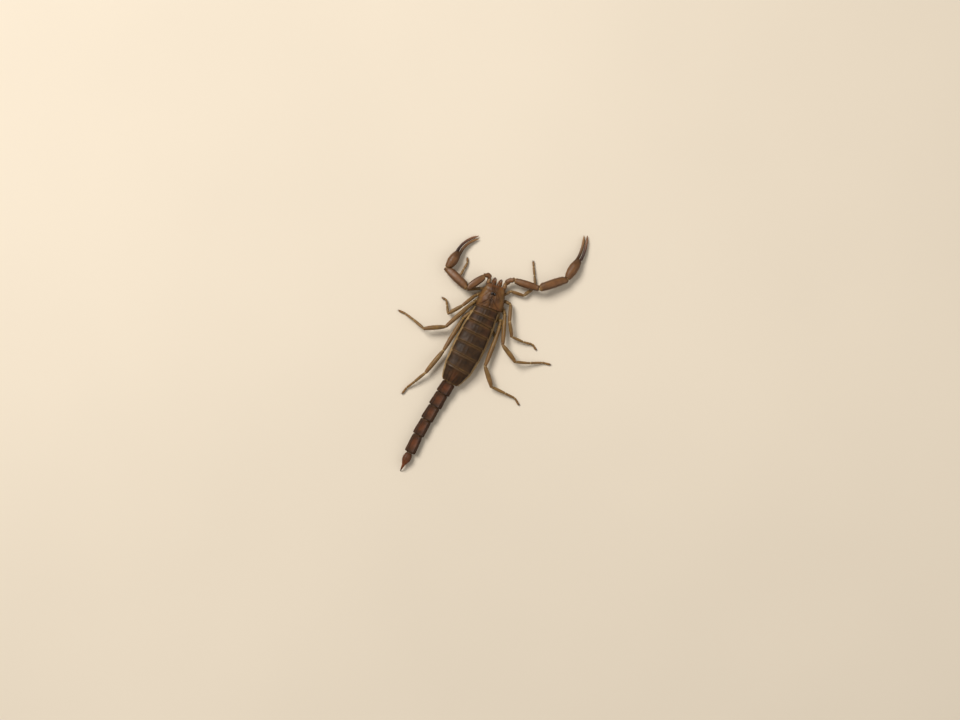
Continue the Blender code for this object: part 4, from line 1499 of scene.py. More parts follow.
@dataclass
class Leg:
    """One walking leg: trochanter with femur, patella, and the tibia with its two tarsal segments."""

    number: int
    side: Side
    step: float = 0.085
    tibia: float = 0.42  # share of the foot's length where each joint lies
    basitarsus: float = 0.735
    claw: float = 0.3
    sleeves: list[Surface] = field(default_factory=list)

    def __post_init__(self) -> None:
        """Reads the three solids."""
        start = f"leg_{self.number}_{self.side.word}"
        self.femur = Limb(f"{start}_femur", "coxae", spread=0.18, soft=15.0)
        self.patella = Limb(f"{start}_patella", f"{start}_femur", spread=0.18, soft=15.0)
        self.foot = Limb(f"{start}_foot", f"{start}_patella", spread=0.14, soft=15.0, inset=0.15)

    @property
    def fuller(self) -> float:
        """How far the middle of the patella swells out; that of the femur does a little less."""
        return 0.04 if self.number < 3 else 0.1

    def bend(self, limb: Limb, low: float, high: float) -> float:
        """The station between two shares of a limb where it turns most."""
        stations = np.linspace(low, high, 60) * limb.line.length
        before, after = limb.line.at(stations - 0.4)[1], limb.line.at(stations + 0.4)[1]
        return float(stations[(before * after).sum(axis=1).argmin()])

    def shaft(self, limb: Limb, keels: list[Keel], joints: list[float], coat: Coat) -> Grid:
        """One solid's surface with its keels, joints and marks."""
        grid = limb.grid(self.step, (0.2, 0.2), (0.0, self.claw if limb is self.foot else 0.0))
        heights = carve_keels(grid, keels, self.number)
        for station in joints:
            heights += carve_joint(grid, station, limb.girth(station))
        heights -= 0.02 * bell(np.abs(grid.degrees) - 62, 26) * between(grid.share, 0.1, 0.9, 0.06)
        heights += 0.008 * ripple(grid.points, 0.5, self.number)
        if limb is not self.foot:
            first = max([0.0, *joints]) / grid.length
            swollen = swelling(np.clip((grid.share - first) / (1 - first), 0, 1))
            heights = heights + self.fuller * swollen * (1.0 if limb is self.patella else 0.6)
        grid.raise_by(heights)
        grid.mark(Mark.DARK, 0.5 * bell(grid.share - 0.985, 0.03) + 0.3 * bell(grid.share, 0.03))
        grid.mark(Mark.RUDDY, 0.4 * ease(grid.share, 0.3, 1.0))
        coat.carry(grid, 0.04, 0.98)
        beaded(limb.node, grid.tube(), Finish.LEG, Granules(0.5, 0.015, 0.025))
        return grid

    def build(self, coat: Coat, spurs: Lobes) -> list[Surface]:
        """Builds the leg.

        Args:
            coat: The bristles of the legs.
            spurs: Collects the spurs of all the legs.

        Returns:
            The two claws and the small one between them.
        """
        keels = [
            Keel(0, 0.035, 0.12, 0.0, dark=0.35),
            Keel(180, 0.04, 0.1, 0.022, dark=0.4),
            Keel(118, 0.03, 0.09, 0.0, dark=0.25),
        ]
        joint = self.bend(self.femur, 0.1, 0.48)
        start = joint / self.femur.line.length + 0.08
        self.shaft(self.femur, [replace(keel, start=start) for keel in keels], [joint], coat)
        self.shaft(self.patella, keels, [], coat)
        joints = [self.tibia * self.foot.line.length, self.basitarsus * self.foot.line.length]
        foot = self.shaft(self.foot, [], joints, coat)
        self.sleeves.append(sleeve(self.femur.collar(-0.4, 0.8), self.patella.collar(0.35, 0.8)))
        self.sleeves.append(sleeve(self.patella.collar(-0.35, 0.8), self.foot.collar(0.35, 0.8)))
        for station, reach in zip(joints, (0.1, 0.15)):
            if station == joints[0] and self.number < 3:
                continue
            for degrees in (140, 215):
                place, out = foot.spot(station - 0.12, math.radians(degrees))
                way = self.foot.line.at(station)[1][0]
                spurs.put(place + way * 0.08, out * 0.55 + way, out, (0.035, 0.035, reach), 0.6)
        return self.claws()

    def claws(self) -> list[Surface]:
        """The two curved claws at the leg's tip and the small one between them."""
        middle, way, side, _ = (v[0] for v in self.foot.line.at(self.foot.line.length - self.claw - 0.08))
        way = unit(way * (1, 1, 0.2))
        up, made = np.cross(unit(np.cross(way, UP)), way), []
        girths = np.array((0.06, 0.055, 0.042, 0.012))
        for sign, size in ((-1, 1.0), (1, 1.0), (0, 0.45)):
            root = middle + side * sign * 0.07
            bow = root + size * (way * 0.2 + up * 0.1 + side * sign * 0.05)
            tip = root + size * (way * 0.36 + side * sign * 0.1) - up * (0.12 if sign == 0 else 0.04)
            tip[2] = max(tip[2], 0.03)
            made.append(curved_tube(np.array([root, (root + bow) / 2, bow, tip]), girths, 8).outward())
        return made


# ---------------------------------------------------------------- pedipalps


@dataclass
class Pedipalp:
    """One arm: coxa, trochanter, femur, patella, hand with its fixed finger, and the movable finger."""

    side: Side
    step: float = 0.075
    rows: int = 14  # slanting rows of denticles along each finger
    hinge: float = 0.42  # how far the movable finger reaches into the hand
    sleeves: list[Surface] = field(default_factory=list)

    PARTS = ("coxa", "trochanter", "femur", "patella", "hand")

    def __post_init__(self) -> None:
        """Reads the six solids."""
        start = f"palp_{self.side.word}"
        befores = ("coxae", *(f"{start}_{part}" for part in self.PARTS))
        self.limbs = {
            part: Limb(f"{start}_{part}", before, spread=0.18, soft=9.0 if part == "hand" else 11.0)
            for part, before in zip(self.PARTS, befores)
        }
        finger = solid(f"{start}_movable_finger").points
        near = finger[np.linalg.norm(finger - self.limbs["hand"].line.points[0], axis=1).argmin()]
        self.limbs["finger"] = Limb(f"{start}_movable_finger", near, spread=0.15, soft=12.0, inset=0.1)

    def joints(self) -> None:
        """The membranes between the segments."""
        for first, last in zip(self.PARTS, self.PARTS[1:]):
            a, b = self.limbs[first], self.limbs[last]
            insets = min(0.45, a.line.length * 0.3), min(0.4, b.line.length * 0.3)
            self.sleeves.append(sleeve(a.collar(-insets[0], 0.7), b.collar(insets[1], 0.7)))
        start = self.limbs["finger"].collar(0.2, 0.6)
        self.sleeves.append(sleeve(start.back(0.4), start))

    def keels(self, part: str) -> list[Keel]:
        """The keels of one segment of the arm."""
        if part == "femur":
            inner = Keel(90 * self.side.value, 0.03, bead=0.03, alone=True)
            return [Keel(48, 0.075, bead=0.052), Keel(128, 0.065, bead=0.048), inner]
        if part == "patella":
            return [Keel(44, 0.06, 0.11, 0.042), Keel(96, 0.04, bead=0.03), Keel(140, 0.05, bead=0.04)]
        if part == "trochanter":
            return [Keel(angle, 0.05, bead=0.04, start=0.2, end=0.85) for angle in (50, 130)]
        return [Keel(angle, 0.03, 0.12, 0.0) for angle in (40, 120)]

    def arm(self, part: str, coat: Coat) -> None:
        """The coxa, trochanter, femur or patella, keeled with granules."""
        grid = self.limbs[part].grid(self.step, (0.22, 0.22))
        share, aside, long = grid.share, np.abs(grid.degrees), part in ("femur", "patella")
        body = between(share, 0.1, 0.92, 0.05)
        heights = carve_keels(grid, self.keels(part), len(part))
        heights -= 0.04 * bell(grid.degrees, 26) * body * long
        heights += 0.06 * bell(share - 0.93, 0.05) + 0.01 * ripple(grid.points, 0.5, len(part))
        heights = heights + {"femur": 0.09, "patella": 0.05}.get(part, 0.0) * swelling(share)
        if part == "patella":
            inner = turn(grid.angles[None, :] + self.side.value * np.pi / 2)
            heights += 0.14 * bell(inner, 0.34) * bell(share - 0.14, 0.05)
        grid.raise_by(heights)
        grid.mark(Mark.GRAIN, 0.5 * body * (aside < 60))
        grid.mark(Mark.PALE, 0.35 * bell(share - 0.02, 0.04) + 0.4 * (part == "coxa"))
        grid.mark(Mark.DARK, 0.55 * bell(share - 0.97, 0.035))
        grid.mark(Mark.DARK, 0.42 * bell(aside - 52, 17) * body * long)
        grid.mark(Mark.RUDDY, 0.5 * bell(share - 0.5, 0.35))
        coat.carry(grid, 0.05, 0.97)
        beaded(self.limbs[part].node, grid.tube(), Finish.PALP, Granules(0.19, 0.02, 0.036, seed=30))

    def facing(self, limb: Limb, other: Limb, station: float) -> float:
        """The angle in radians, round a finger, that looks at the other one."""
        middle, _, side, up = (v[0] for v in limb.line.at(station))
        dense = other.line.at(np.linspace(0, other.line.length, 120))[0]
        toward = dense[np.linalg.norm(dense - middle, axis=1).argmin()] - middle
        return math.atan2(float(toward @ side), float(toward @ up))

    def pointed(self, grid: Grid) -> Array:
        """How far a finger's surface draws in towards its tip, as heights."""
        return -grid.radii * (0.72 * ease(grid.along, grid.length - 1.5, grid.length + 0.15))

    def denticles(self, limb: Limb, other: Limb, grid: Grid, start: float, teeth: Lobes) -> None:
        """The slanting rows along a finger's inner edge, with a larger one beside each row."""
        length = limb.line.length
        shift = grid.length - length
        stations = np.linspace(start, length - 0.25, self.rows + 1)
        for first, last in zip(stations, stations[1:]):
            facing = self.facing(limb, other, (first + last) / 2)
            for n in range(5):
                station = first + (last - first) * n / 5
                place, out = grid.spot(station + shift, facing + (n - 2) * 0.13)
                way = limb.line.at(station)[1][0]
                teeth.put(place, out + way * 0.3, way, (0.026, 0.036, 0.055), 0.55)
            for sign in (-1, 1):
                place, out = grid.spot(first + shift + 0.05, facing + sign * 0.75)
                teeth.put(place, out + way * 0.3, way, (0.03, 0.036, 0.06), 0.75)

    def hand(self, coat: Coat, teeth: Lobes) -> None:
        """The hand, swollen behind and drawn out into its fixed finger."""
        limb, finger = self.limbs["hand"], self.limbs["finger"]
        grid = limb.grid(0.065, (0.3, 0.08))
        root = float(limb.line.nearest(finger.line.points[:1])[0][0])
        s, end = grid.along, root / grid.length
        palm = ease(s, 0.25, 0.6) * ease(s, root + 0.3, root - 0.5)
        # angle, height, width and granules of each keel
        sizes = ((32, 0.04, 0.12, 0.03), (75, 0.035, 0.12, 0.026), (135, 0.04, 0.12, 0.028))
        heights = carve_keels(grid, [Keel(*size, start=0.04, end=end, dark=0.35) for size in sizes], 3)
        heights += 0.012 * ripple(grid.points, 0.6, 4) * palm + self.pointed(grid)
        grid.raise_by(heights)
        grid.mark(Mark.DARK, 0.9 * bell(s - root - 0.15, 1.6) + 0.4 * bell(s, 0.2))
        grid.mark(Mark.RUDDY, np.clip(0.75 * ease(s, root + 1.2, grid.length) + 0.3 * palm, 0, 1))
        grid.mark(Mark.PALE, 0.7 * ease(s, root + 2.4, grid.length))
        grid.mark(Mark.GRAIN, 0.4 * palm * (np.abs(grid.degrees) < 100))
        coat.carry(grid, 0.04, 0.95)
        beaded(limb.node, grid.tube(), Finish.PALP, Granules(0.24, 0.018, 0.03, seed=40))
        self.denticles(limb, finger, grid, root + 0.55, teeth)

    def finger(self, coat: Coat, teeth: Lobes) -> None:
        """The movable finger, grooved along its sides."""
        limb = self.limbs["finger"]
        grid = limb.grid(0.06, (0.2, 0.08), (-self.hinge, 0.0))
        s = grid.along
        heights = -0.03 * bell(np.abs(grid.degrees) - 90, 24) * between(grid.share, 0.06, 0.9, 0.05)
        heights = heights + 0.05 * bell(s - 0.35 - self.hinge, 0.2) + 0.008 * ripple(grid.points, 0.4, 5)
        grid.raise_by(heights + self.pointed(grid))
        grid.mark(Mark.DARK, 0.75 * (1 - ease(s, 1.0, 3.2)))
        grid.mark(Mark.RUDDY, 0.5 * ease(s, 1.4, grid.length))
        grid.mark(Mark.PALE, 0.85 * ease(s, 2.2, 0.95 * grid.length))
        coat.carry(grid, 0.04, 0.95)
        piece(limb.node, grid.tube().mesh(limb.node), Finish.FINGER, limb.node)
        self.denticles(limb, self.limbs["hand"], grid, 0.5, teeth)

    def build(self, coat: Coat, teeth: Lobes) -> None:
        """Builds the arm and its hand.

        Args:
            coat: The bristles of the pedipalps.
            teeth: Collects the denticles of all the fingers.
        """
        for part in self.PARTS[:-1]:
            self.arm(part, coat)
        self.hand(coat, teeth)
        self.finger(coat, teeth)
        self.joints()


# ---------------------------------------------------------------- head end


@dataclass
class Head:
    """The prosoma: carapace, eyes, jaws, and the coxae and sternum under it, in a frame of its own.

    In that frame +Y is forward, +X is right, and the origin is on the ground under the middle of both eyes.
    """

    step: float = 0.065
    rim: float = 0.1

    def __post_init__(self) -> None:
        """Sets up the frame from the two median eyes."""
        boxes = [np.array(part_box(f"eye_{side.word}")) / MM for side in Side]
        self.eyes = [box.mean(axis=0) for box in boxes]
        self.eye_radius = float((boxes[0][1] - boxes[0][0]).mean() / 2)
        right = unit((self.eyes[1] - self.eyes[0]) * FLAT)
        self.axes = np.stack([right, np.cross(UP, right), UP])
        self.origin = (self.eyes[0] + self.eyes[1]) / 2 * FLAT

    def local(self, points: Array) -> Array:
        """Places in the head's own frame."""
        return (points - self.origin) @ self.axes.T

    def world(self, points: Array) -> Array:
        """Places of the head's own frame in the model's."""
        return points @ self.axes + self.origin

    def slab(self, name: str, above: int, below: int, spread: float) -> Grid:
        """Reads a broad solid as rings across it, from its rear to its front.

        Args:
            name: The solid.
            above: Points of each ring from one side's lower edge over the top to the other's.
            below: Points of each ring under it.
            spread: Smoothing, in millimetres.

        Returns:
            The rings, with rounded ends.
        """
        body = solid(name)
        local = self.local(body.points)
        (_, y0, z0), (_, y1, z1) = local.min(axis=0), local.max(axis=0)
        rows = np.linspace(y0 + 0.03, y1 - 0.03, int((y1 - y0) / self.step))
        levels = np.linspace(z0 + 0.02, z1 - 0.02, 16)  # heights at which each row's width is read
        starts = np.stack(np.broadcast_arrays(FAR, rows[:, None], levels[None]), axis=-1)
        widths = FAR - cast(body, self.world(starts), -self.axes[0], FAR).min(axis=1)
        lean = np.radians(np.linspace(-84, 84, 81))  # brings the readings closer towards the sides
        x = widths[:, None] * np.sin(lean)[None]
        flat = self.world(np.stack(np.broadcast_arrays(x, rows[:, None], 0.0), axis=-1))
        top, base = (fill(heights) for heights in faces_over(body, flat))
        rings = np.empty((len(rows), above + below, 3))
        for n, (wall, row) in enumerate(zip(widths, rows)):
            over = np.array([(-wall, base[n, 0]), *zip(x[n], top[n]), (wall, base[n, -1])])
            under = np.array([(wall, base[n, -1]), *zip(x[n][::-1], base[n][::-1]), (-wall, base[n, 0])])
            ring = []
            for path, count in ((over, above), (under, below)):
                far = walked(path)
                ring.append(read_off(np.linspace(0, far[-1], count, endpoint=False), far, path))
            rings[n] = np.insert(np.concatenate(ring), 1, row, axis=1)
        rings = blur(rings, 1.6, 1, wrap=True)
        rings[..., ::2] = blur(rings[..., ::2], spread / self.step, 0)
        ends = []
        for ring, sign in ((rings[0], -1), (rings[-1], 1)):
            middle, made = ring.mean(axis=0), []
            off = ring - middle
            for angle in np.radians((0, 25, 50, 75, 90)):
                cut = self.rim * (1 - math.cos(angle))
                shrunk = np.sign(off) * np.maximum(np.abs(off) - cut, 0.12 * np.abs(off))
                shrunk[:, 1] = sign * self.rim * (math.sin(angle) - 1)
                made.append(middle + shrunk)
            made += [middle + (made[-1] - middle) * (k, 1, k) for k in (0.75, 0.4, 0.0)]
            ends.append(made[::-1] if sign < 0 else made)
        rings = np.concatenate([np.array(ends[0]), rings[1:-1], np.array(ends[1])])
        stations, size = rings[:, :, 1].mean(axis=1) - y0, rings.shape[:2]
        return Grid(self.world(rings), stations, round_angles(size[1]), np.ones(size), y1 - y0)

    def carapace(self) -> None:
        """The head shield, with its furrows, granulate ridges, eye mound and side eyes."""
        grid = self.slab("carapace", 190, 40, 0.12)
        x, y, _ = np.moveaxis(self.local(grid.points), -1, 0)
        rear = y.min()
        wide = np.abs(x).max(axis=1)[:, None] + 1e-3
        off, share = np.abs(x), (y - rear) / grid.length
        top = ease(grid.normals()[..., 2], 0.1, 0.5)
        # the furrow along the middle behind the eyes, then the one in front of them
        heights = -0.15 * bell(x, 0.14) * between(y, rear + 0.25, -0.75, 0.25)
        heights -= 0.07 * bell(x, 0.2) * ease(y, 0.75, 1.3)
        # the curved furrow on each side at the rear, the one beside the eyes, and the swellings next to them
        curve = 0.35 + 1.75 * np.clip((0.42 - share) / 0.36, 0, 1) ** 1.4
        rearward = between(share, 0.05, 0.42, 0.04)
        heights -= 0.1 * bell(off - curve, 0.17) * rearward
        side = 0.95 + 1.3 * np.clip((0.72 - share) / 0.34, 0, 1)
        heights -= 0.06 * bell(off - side, 0.2) * between(share, 0.42, 0.72, 0.05)
        heights += 0.05 * bell(off - curve + 0.32, 0.15) * rearward * (off > 0.16)
        heights += 0.035 * bell(off - wide * 0.62, 0.5) * between(share, 0.1, 0.5, 0.1)
        # each ridge: how far it lies from the middle, and its start and end as shares of the length
        ridges = [
            (0.34 + 0.3 * np.clip((0.36 - share) / 0.3, 0, 1), 0.07, 0.36),
            (0.72 + 0.25 * np.clip((0.56 - share) / 0.2, 0, 1), 0.37, 0.56),
            (np.full_like(share, 0.42), 0.55, 0.7),
            (0.52 + 0.28 * np.clip((share - 0.74) / 0.2, 0, 1), 0.75, 0.95),
        ]
        beads = np.zeros(grid.points.shape[:2])
        for path, low, high in ridges:
            reach = between(share, low, high, 0.02)
            heights += 0.05 * bell(off - path, 0.09) * reach
            grid.mark(Mark.DARK, 0.45 * bell(off - path, 0.1) * reach * top)
            for row in np.flatnonzero((share[:, 0] > low) & (share[:, 0] < high))[::2]:
                for sign in (-1, 1):
                    beads[row, np.abs(x[row] - sign * path[row, 0] - FAR * (top[row] < 0.5)).argmin()] = 0.045
        edge = bell(off - wide + 0.05, 0.1) * between(share, 0.03, 0.97, 0.02)
        heights += 0.045 * edge
        heights = heights * np.maximum(top, 0.25) + 0.014 * ripple(grid.points, 0.55, 3)
        grid.raise_by(heights)
        grid.mark(Mark.BEAD, beads)
        near = np.hypot(x, y)
        # dark round the eyes, along the middle, in the furrows and in two streaks in front
        grid.mark(Mark.DARK, 1.2 * bell(near, 0.72) * top)
        grid.mark(Mark.DARK, 0.95 * bell(x, 0.34) * between(share, 0.04, 0.62, 0.1) * top)
        grid.mark(Mark.DARK, 0.55 * bell(off - curve, 0.22) * rearward * top)
        grid.mark(Mark.DARK, 0.5 * bell(off - 0.3 - 1.2 * (share - 0.6), 0.22) * ease(share, 0.6, 0.7) * top)
        grid.mark(Mark.DARK, 0.5 * edge)
        grid.mark(Mark.RUDDY, 0.55 * bell(off - 0.6 * wide, 0.8) * ripple(grid.points, 1.2, 8).clip(0, 1))
        grid.mark(Mark.RUDDY, 0.7 * ease(share, 0.86, 1.0) * top)
        grid.mark(Mark.PALE, 0.34 * bell(off - 0.8 * wide, 0.45) * between(share, 0.1, 0.9, 0.1) * top)
        smooth = bell(x, 0.16) * (y < 0) + bell(near, 0.45) + bell(off - curve, 0.14) * rearward
        patchy = np.clip(0.65 + 0.6 * ripple(grid.points, 0.45, 9), 0.12, 1)
        grid.mark(Mark.GRAIN, np.clip(top - smooth, 0, 1) * (0.5 + 0.5 * ease(share, 0.25, 0.75)) * patchy)
        whole = Surface.joined([grid.tube(), *(self.brow(eye) for eye in self.eyes)])
        beaded("carapace", whole, Finish.CARAPACE, Granules(0.115, 0.014, 0.055, 0.7, seed=3))
        self.side_eyes(grid, x, share, wide)

    def brow(self, eye: Array) -> Surface:
        """The raised rim that a median eye sits in."""
        out, spokes, sides = self.gaze(eye), 28, 10
        ring = wheel(out, self.axes[1], spokes)[:, None]
        around = np.linspace(0, 2 * np.pi, sides, endpoint=False)[:, None]
        points = eye - out * 0.03 + ring * (self.eye_radius - 0.005 + 0.05 * np.cos(around))
        points = points + out * (0.06 * np.sin(around))
        index = np.arange(spokes * sides).reshape(spokes, sides)
        on, up = np.roll(index, -1, axis=0), np.roll(index, -1, axis=1)
        quads = np.stack([index, on, np.roll(on, -1, axis=1), up], axis=-1).reshape(-1, 4)
        return Surface(points.reshape(-1, 3), quads, np.zeros((0, 3), int)).mark(Mark.DARK, 1.6).outward()

    def gaze(self, eye: Array) -> Array:
        """The way that a median eye looks: sideways and up."""
        sign = np.sign(self.local(eye)[0])
        return unit(self.axes[0] * sign + self.axes[1] * 0.1 + UP * 0.85)

    def side_eyes(self, grid: Grid, x: Array, share: Array, wide: Array) -> None:
        """The median eyes, and the three small eyes at each front corner of the shield."""
        for side, eye in zip(Side, self.eyes):
            lens = dome(eye, self.gaze(eye), self.eye_radius, self.eye_radius * 1.02, 26)
            piece(f"eye_{side.word}", lens.mesh("eye"), Finish.EYE, f"eye_{side.word}")
        lenses, normals = [], grid.normals()
        places = ((0.965, 0.2, 0.1), (0.925, 0.13, 0.095), (0.885, 0.09, 0.075))
        for sign in (-1, 1):
            for along, inward, radius in places:
                row = int(np.abs(share[:, 0] - along).argmin())
                under = normals[row][:, 2] <= 0.05
                column = int((np.abs(x[row] - sign * (wide[row, 0] - inward)) + FAR * under).argmin())
                out = unit(normals[row, column] + self.axes[0] * sign * 0.4)
                lenses.append(dome(grid.points[row, column], out, radius, radius * 0.8, 14))
        piece("side_eyes", Surface.joined(lenses).mesh("side_eyes"), Finish.EYE)

    def jaws(self, teeth: Lobes, coat: Coat) -> list[Surface]:
        """The two chelicerae, each a swollen base with a fixed and a movable finger."""
        sleeves = []
        for side in Side:
            node = f"chelicera_{side.word}"
            rear = self.local(solid(node).points)[:, 1].min()
            limb = Limb(node, self.world(np.array((0, rear - 3, 2))), spread=0.15, soft=10.0)
            base = limb.grid(0.05, (0.2, 0.35), (0.0, limb.line.length * 0.3))
            furrow = 0.04 * bell(base.arc(0), 0.12) * ease(base.share, 0.5, 0.9)
            base.raise_by(0.02 * ripple(base.points, 0.3, 5) - furrow)
            spotted = ripple(base.points, 0.16, 11) > 0.15
            base.mark(Mark.DARK, 0.6 * spotted * between(base.share, 0.25, 0.9, 0.1))
            base.mark(Mark.RUDDY, 0.6 * ease(base.share, 0.4, 1.0))
            coat.carry(base, 0.4, 0.95, 1)
            parts, length = [base.tube()], limb.line.length
            # how far along the jaw its fingers' form is given
            shares = np.array((0.54, 0.65, 0.78, 0.9, 0.985))
            middle, _, across, up = limb.line.at(shares * length)
            for sign, girth, lift in ((side.value, 0.27, -0.05), (-side.value, 0.24, 0.08)):
                bow = sign * np.array((0.21, 0.27, 0.25, 0.17, 0.03))[:, None]
                path = middle + across * bow + up * (lift * np.array((1.0, 1.0, 0.8, 0.4, 0.0)))[:, None]
                girths = np.array((girth, girth, 0.2, 0.135, 0.035))
                finger = curved_tube(path, girths, 16, 0.04)
                chord = path[-1] - path[0]
                far = np.clip((finger.points - path[0]) @ unit(chord) / np.linalg.norm(chord), 0, 1)
                finger.mark(Mark.RUDDY, 0.5 + 0.5 * far).mark(Mark.DARK, 0.95 * ease(far, 0.4, 0.95))
                parts.append(finger)
                inner, way = -across[2] * sign, limb.line.at(0.7 * length)[1][0]
                for share in 0.69 + 0.073 * np.arange(4):
                    place = read_off(share, shares, path) + inner * np.interp(share, shares, girths) * 0.7
                    teeth.put(place, inner, way, (0.06, 0.075, 0.12), 0.95)
            piece(node, Surface.joined(parts).mesh(node), Finish.CARAPACE, node)
            start = limb.collar(0.35, 0.85)
            sleeves.append(sleeve(start.back(0.9, 1.1), start))
        return sleeves

    def underside(self, roots: list[Ring], palps: list[Ring]) -> None:
        """The coxae, each its own crowned plate, with the sternum and the genital plates between them.

        Args:
            roots: The ring at each leg's start, from I to IV on each side.
            palps: The same for the two pedipalps.
        """
        grid = self.slab("coxae", 120, 170, 0.15)
        flat = self.local(grid.points)[..., :2]
        # the sternum, the two genital plates and the coxae: both ends of each one's middle line and its girth
        plates = [((0.0, -2.9), (0.0, -3.6), 0.2)]
        plates += [((x * 0.38, -4.9), (x * 0.3, -4.7), 0.3) for x in (-1, 1)]
        inner = ((0.25, -0.2), (0.25, -1.45), (0.5, -2.75), (0.6, -3.9))
        for n, root in enumerate(roots):
            x, y = inner[n % 4]
            end = self.local(root.middle)[:2]
            plates.append(((math.copysign(x, end[0]), y), end, 0.0))
        apart = []
        for first, last, girth in plates:
            a, way = np.array(first), np.array(last) - np.array(first)
            share = np.clip(((flat - a) @ way) / (way @ way), 0, 1)
            apart.append(np.linalg.norm(flat - a - share[..., None] * way, axis=-1) - girth)
        order = np.sort(np.stack(apart), axis=0)
        gap = order[1] - order[0]
        under = ease(-grid.normals()[..., 2], -0.5, 0.1) * ease(flat[..., 1], -6.2, -5.6)
        heights = (0.13 * (1 - (np.clip(order[0], 0, 0.8) / 0.8) ** 2) - 0.16 * bell(gap, 0.13)) * under
        heights -= 0.05 * (1 - under)
        grid.raise_by(heights + 0.012 * ripple(grid.points, 0.5, 2))
        grid.mark(Mark.DARK, 0.55 * bell(gap, 0.14) * under)
        grid.mark(Mark.PALE, 0.55 * under * (0.5 + 0.5 * ripple(grid.points, 1.4, 6)))
        parts = [grid.tube()]
        for middle, way, radius in roots + palps:
            path = middle + np.outer((-0.75, -0.4, -0.12, 0.06), way)
            collar = curved_tube(path, radius * np.array((1.0, 1.22, 1.25, 1.12)), 26, 0.05)
            parts.append(collar.mark(Mark.PALE, 0.3))
        piece("coxae", Surface.joined(parts).mesh("coxae"), Finish.LEG, "coxae")

    def combs(self) -> None:
        """The two pectines: a rim of three plates, a middle row, knobs and a row of teeth each."""
        for side in Side:
            node = f"pectine_{side.word}"
            line = find_line(node, self.world(np.array([0.0, -6.5, 0.3])), 0.5)
            share = np.linspace(0, 1, 40)
            middle, way, across, up = line.at(np.linspace(0.12, line.length - 0.1, len(share)))
            forward = across * np.sign((across @ self.axes[1]).mean())
            width = 0.56 * (1 - 0.4 * share**2)[:, None]
            rim = middle + forward * width * 0.6
            row = middle + forward * width * 0.08
            notch = 1 - 0.22 * (bell(share - 0.33, 0.025) + bell(share - 0.68, 0.025))
            girth = np.interp(share, (0, 0.1, 1), (0.2, 0.24, 0.13))
            parts = [curved_tube(rim, girth * notch, 16, 0.05, 0.85)]
            small = 1 - 0.25 * np.abs(np.sin(share * np.pi * 9)) ** 8
            parts.append(curved_tube(row, 0.75 * girth * small, 14, 0.05, 0.8))
            teeth, count = Lobes(), 20
            for n in range(count):
                at = (n + 0.5) / count
                k = int(at * len(share))
                back = -forward[k] + way[k] * 0.25
                root = middle[k] - forward[k] * width[k] * 0.18
                long = 0.36 * (1 - 0.35 * at)
                teeth.put(root + unit(back) * long * 0.8, back, up[k], (0.075, 0.11, long))
                knob = middle[k] - forward[k] * width[k] * 0.1 - up[k] * 0.04
                knob = knob + way[k] * line.length / count / 2
                teeth.put(knob, -up[k], way[k], (0.07, 0.07, 0.08), 0.15)
            meshes = [Surface.joined(parts).mesh(node), teeth.mesh(0.12, Finish.SEGMENT_SKIN)]
            meshes[0].materials.append(Finish.SEGMENT_SKIN.material())
            piece(node, merged(node, meshes), Finish.SEGMENT_SKIN, node)


# ---------------------------------------------------------------- abdomen


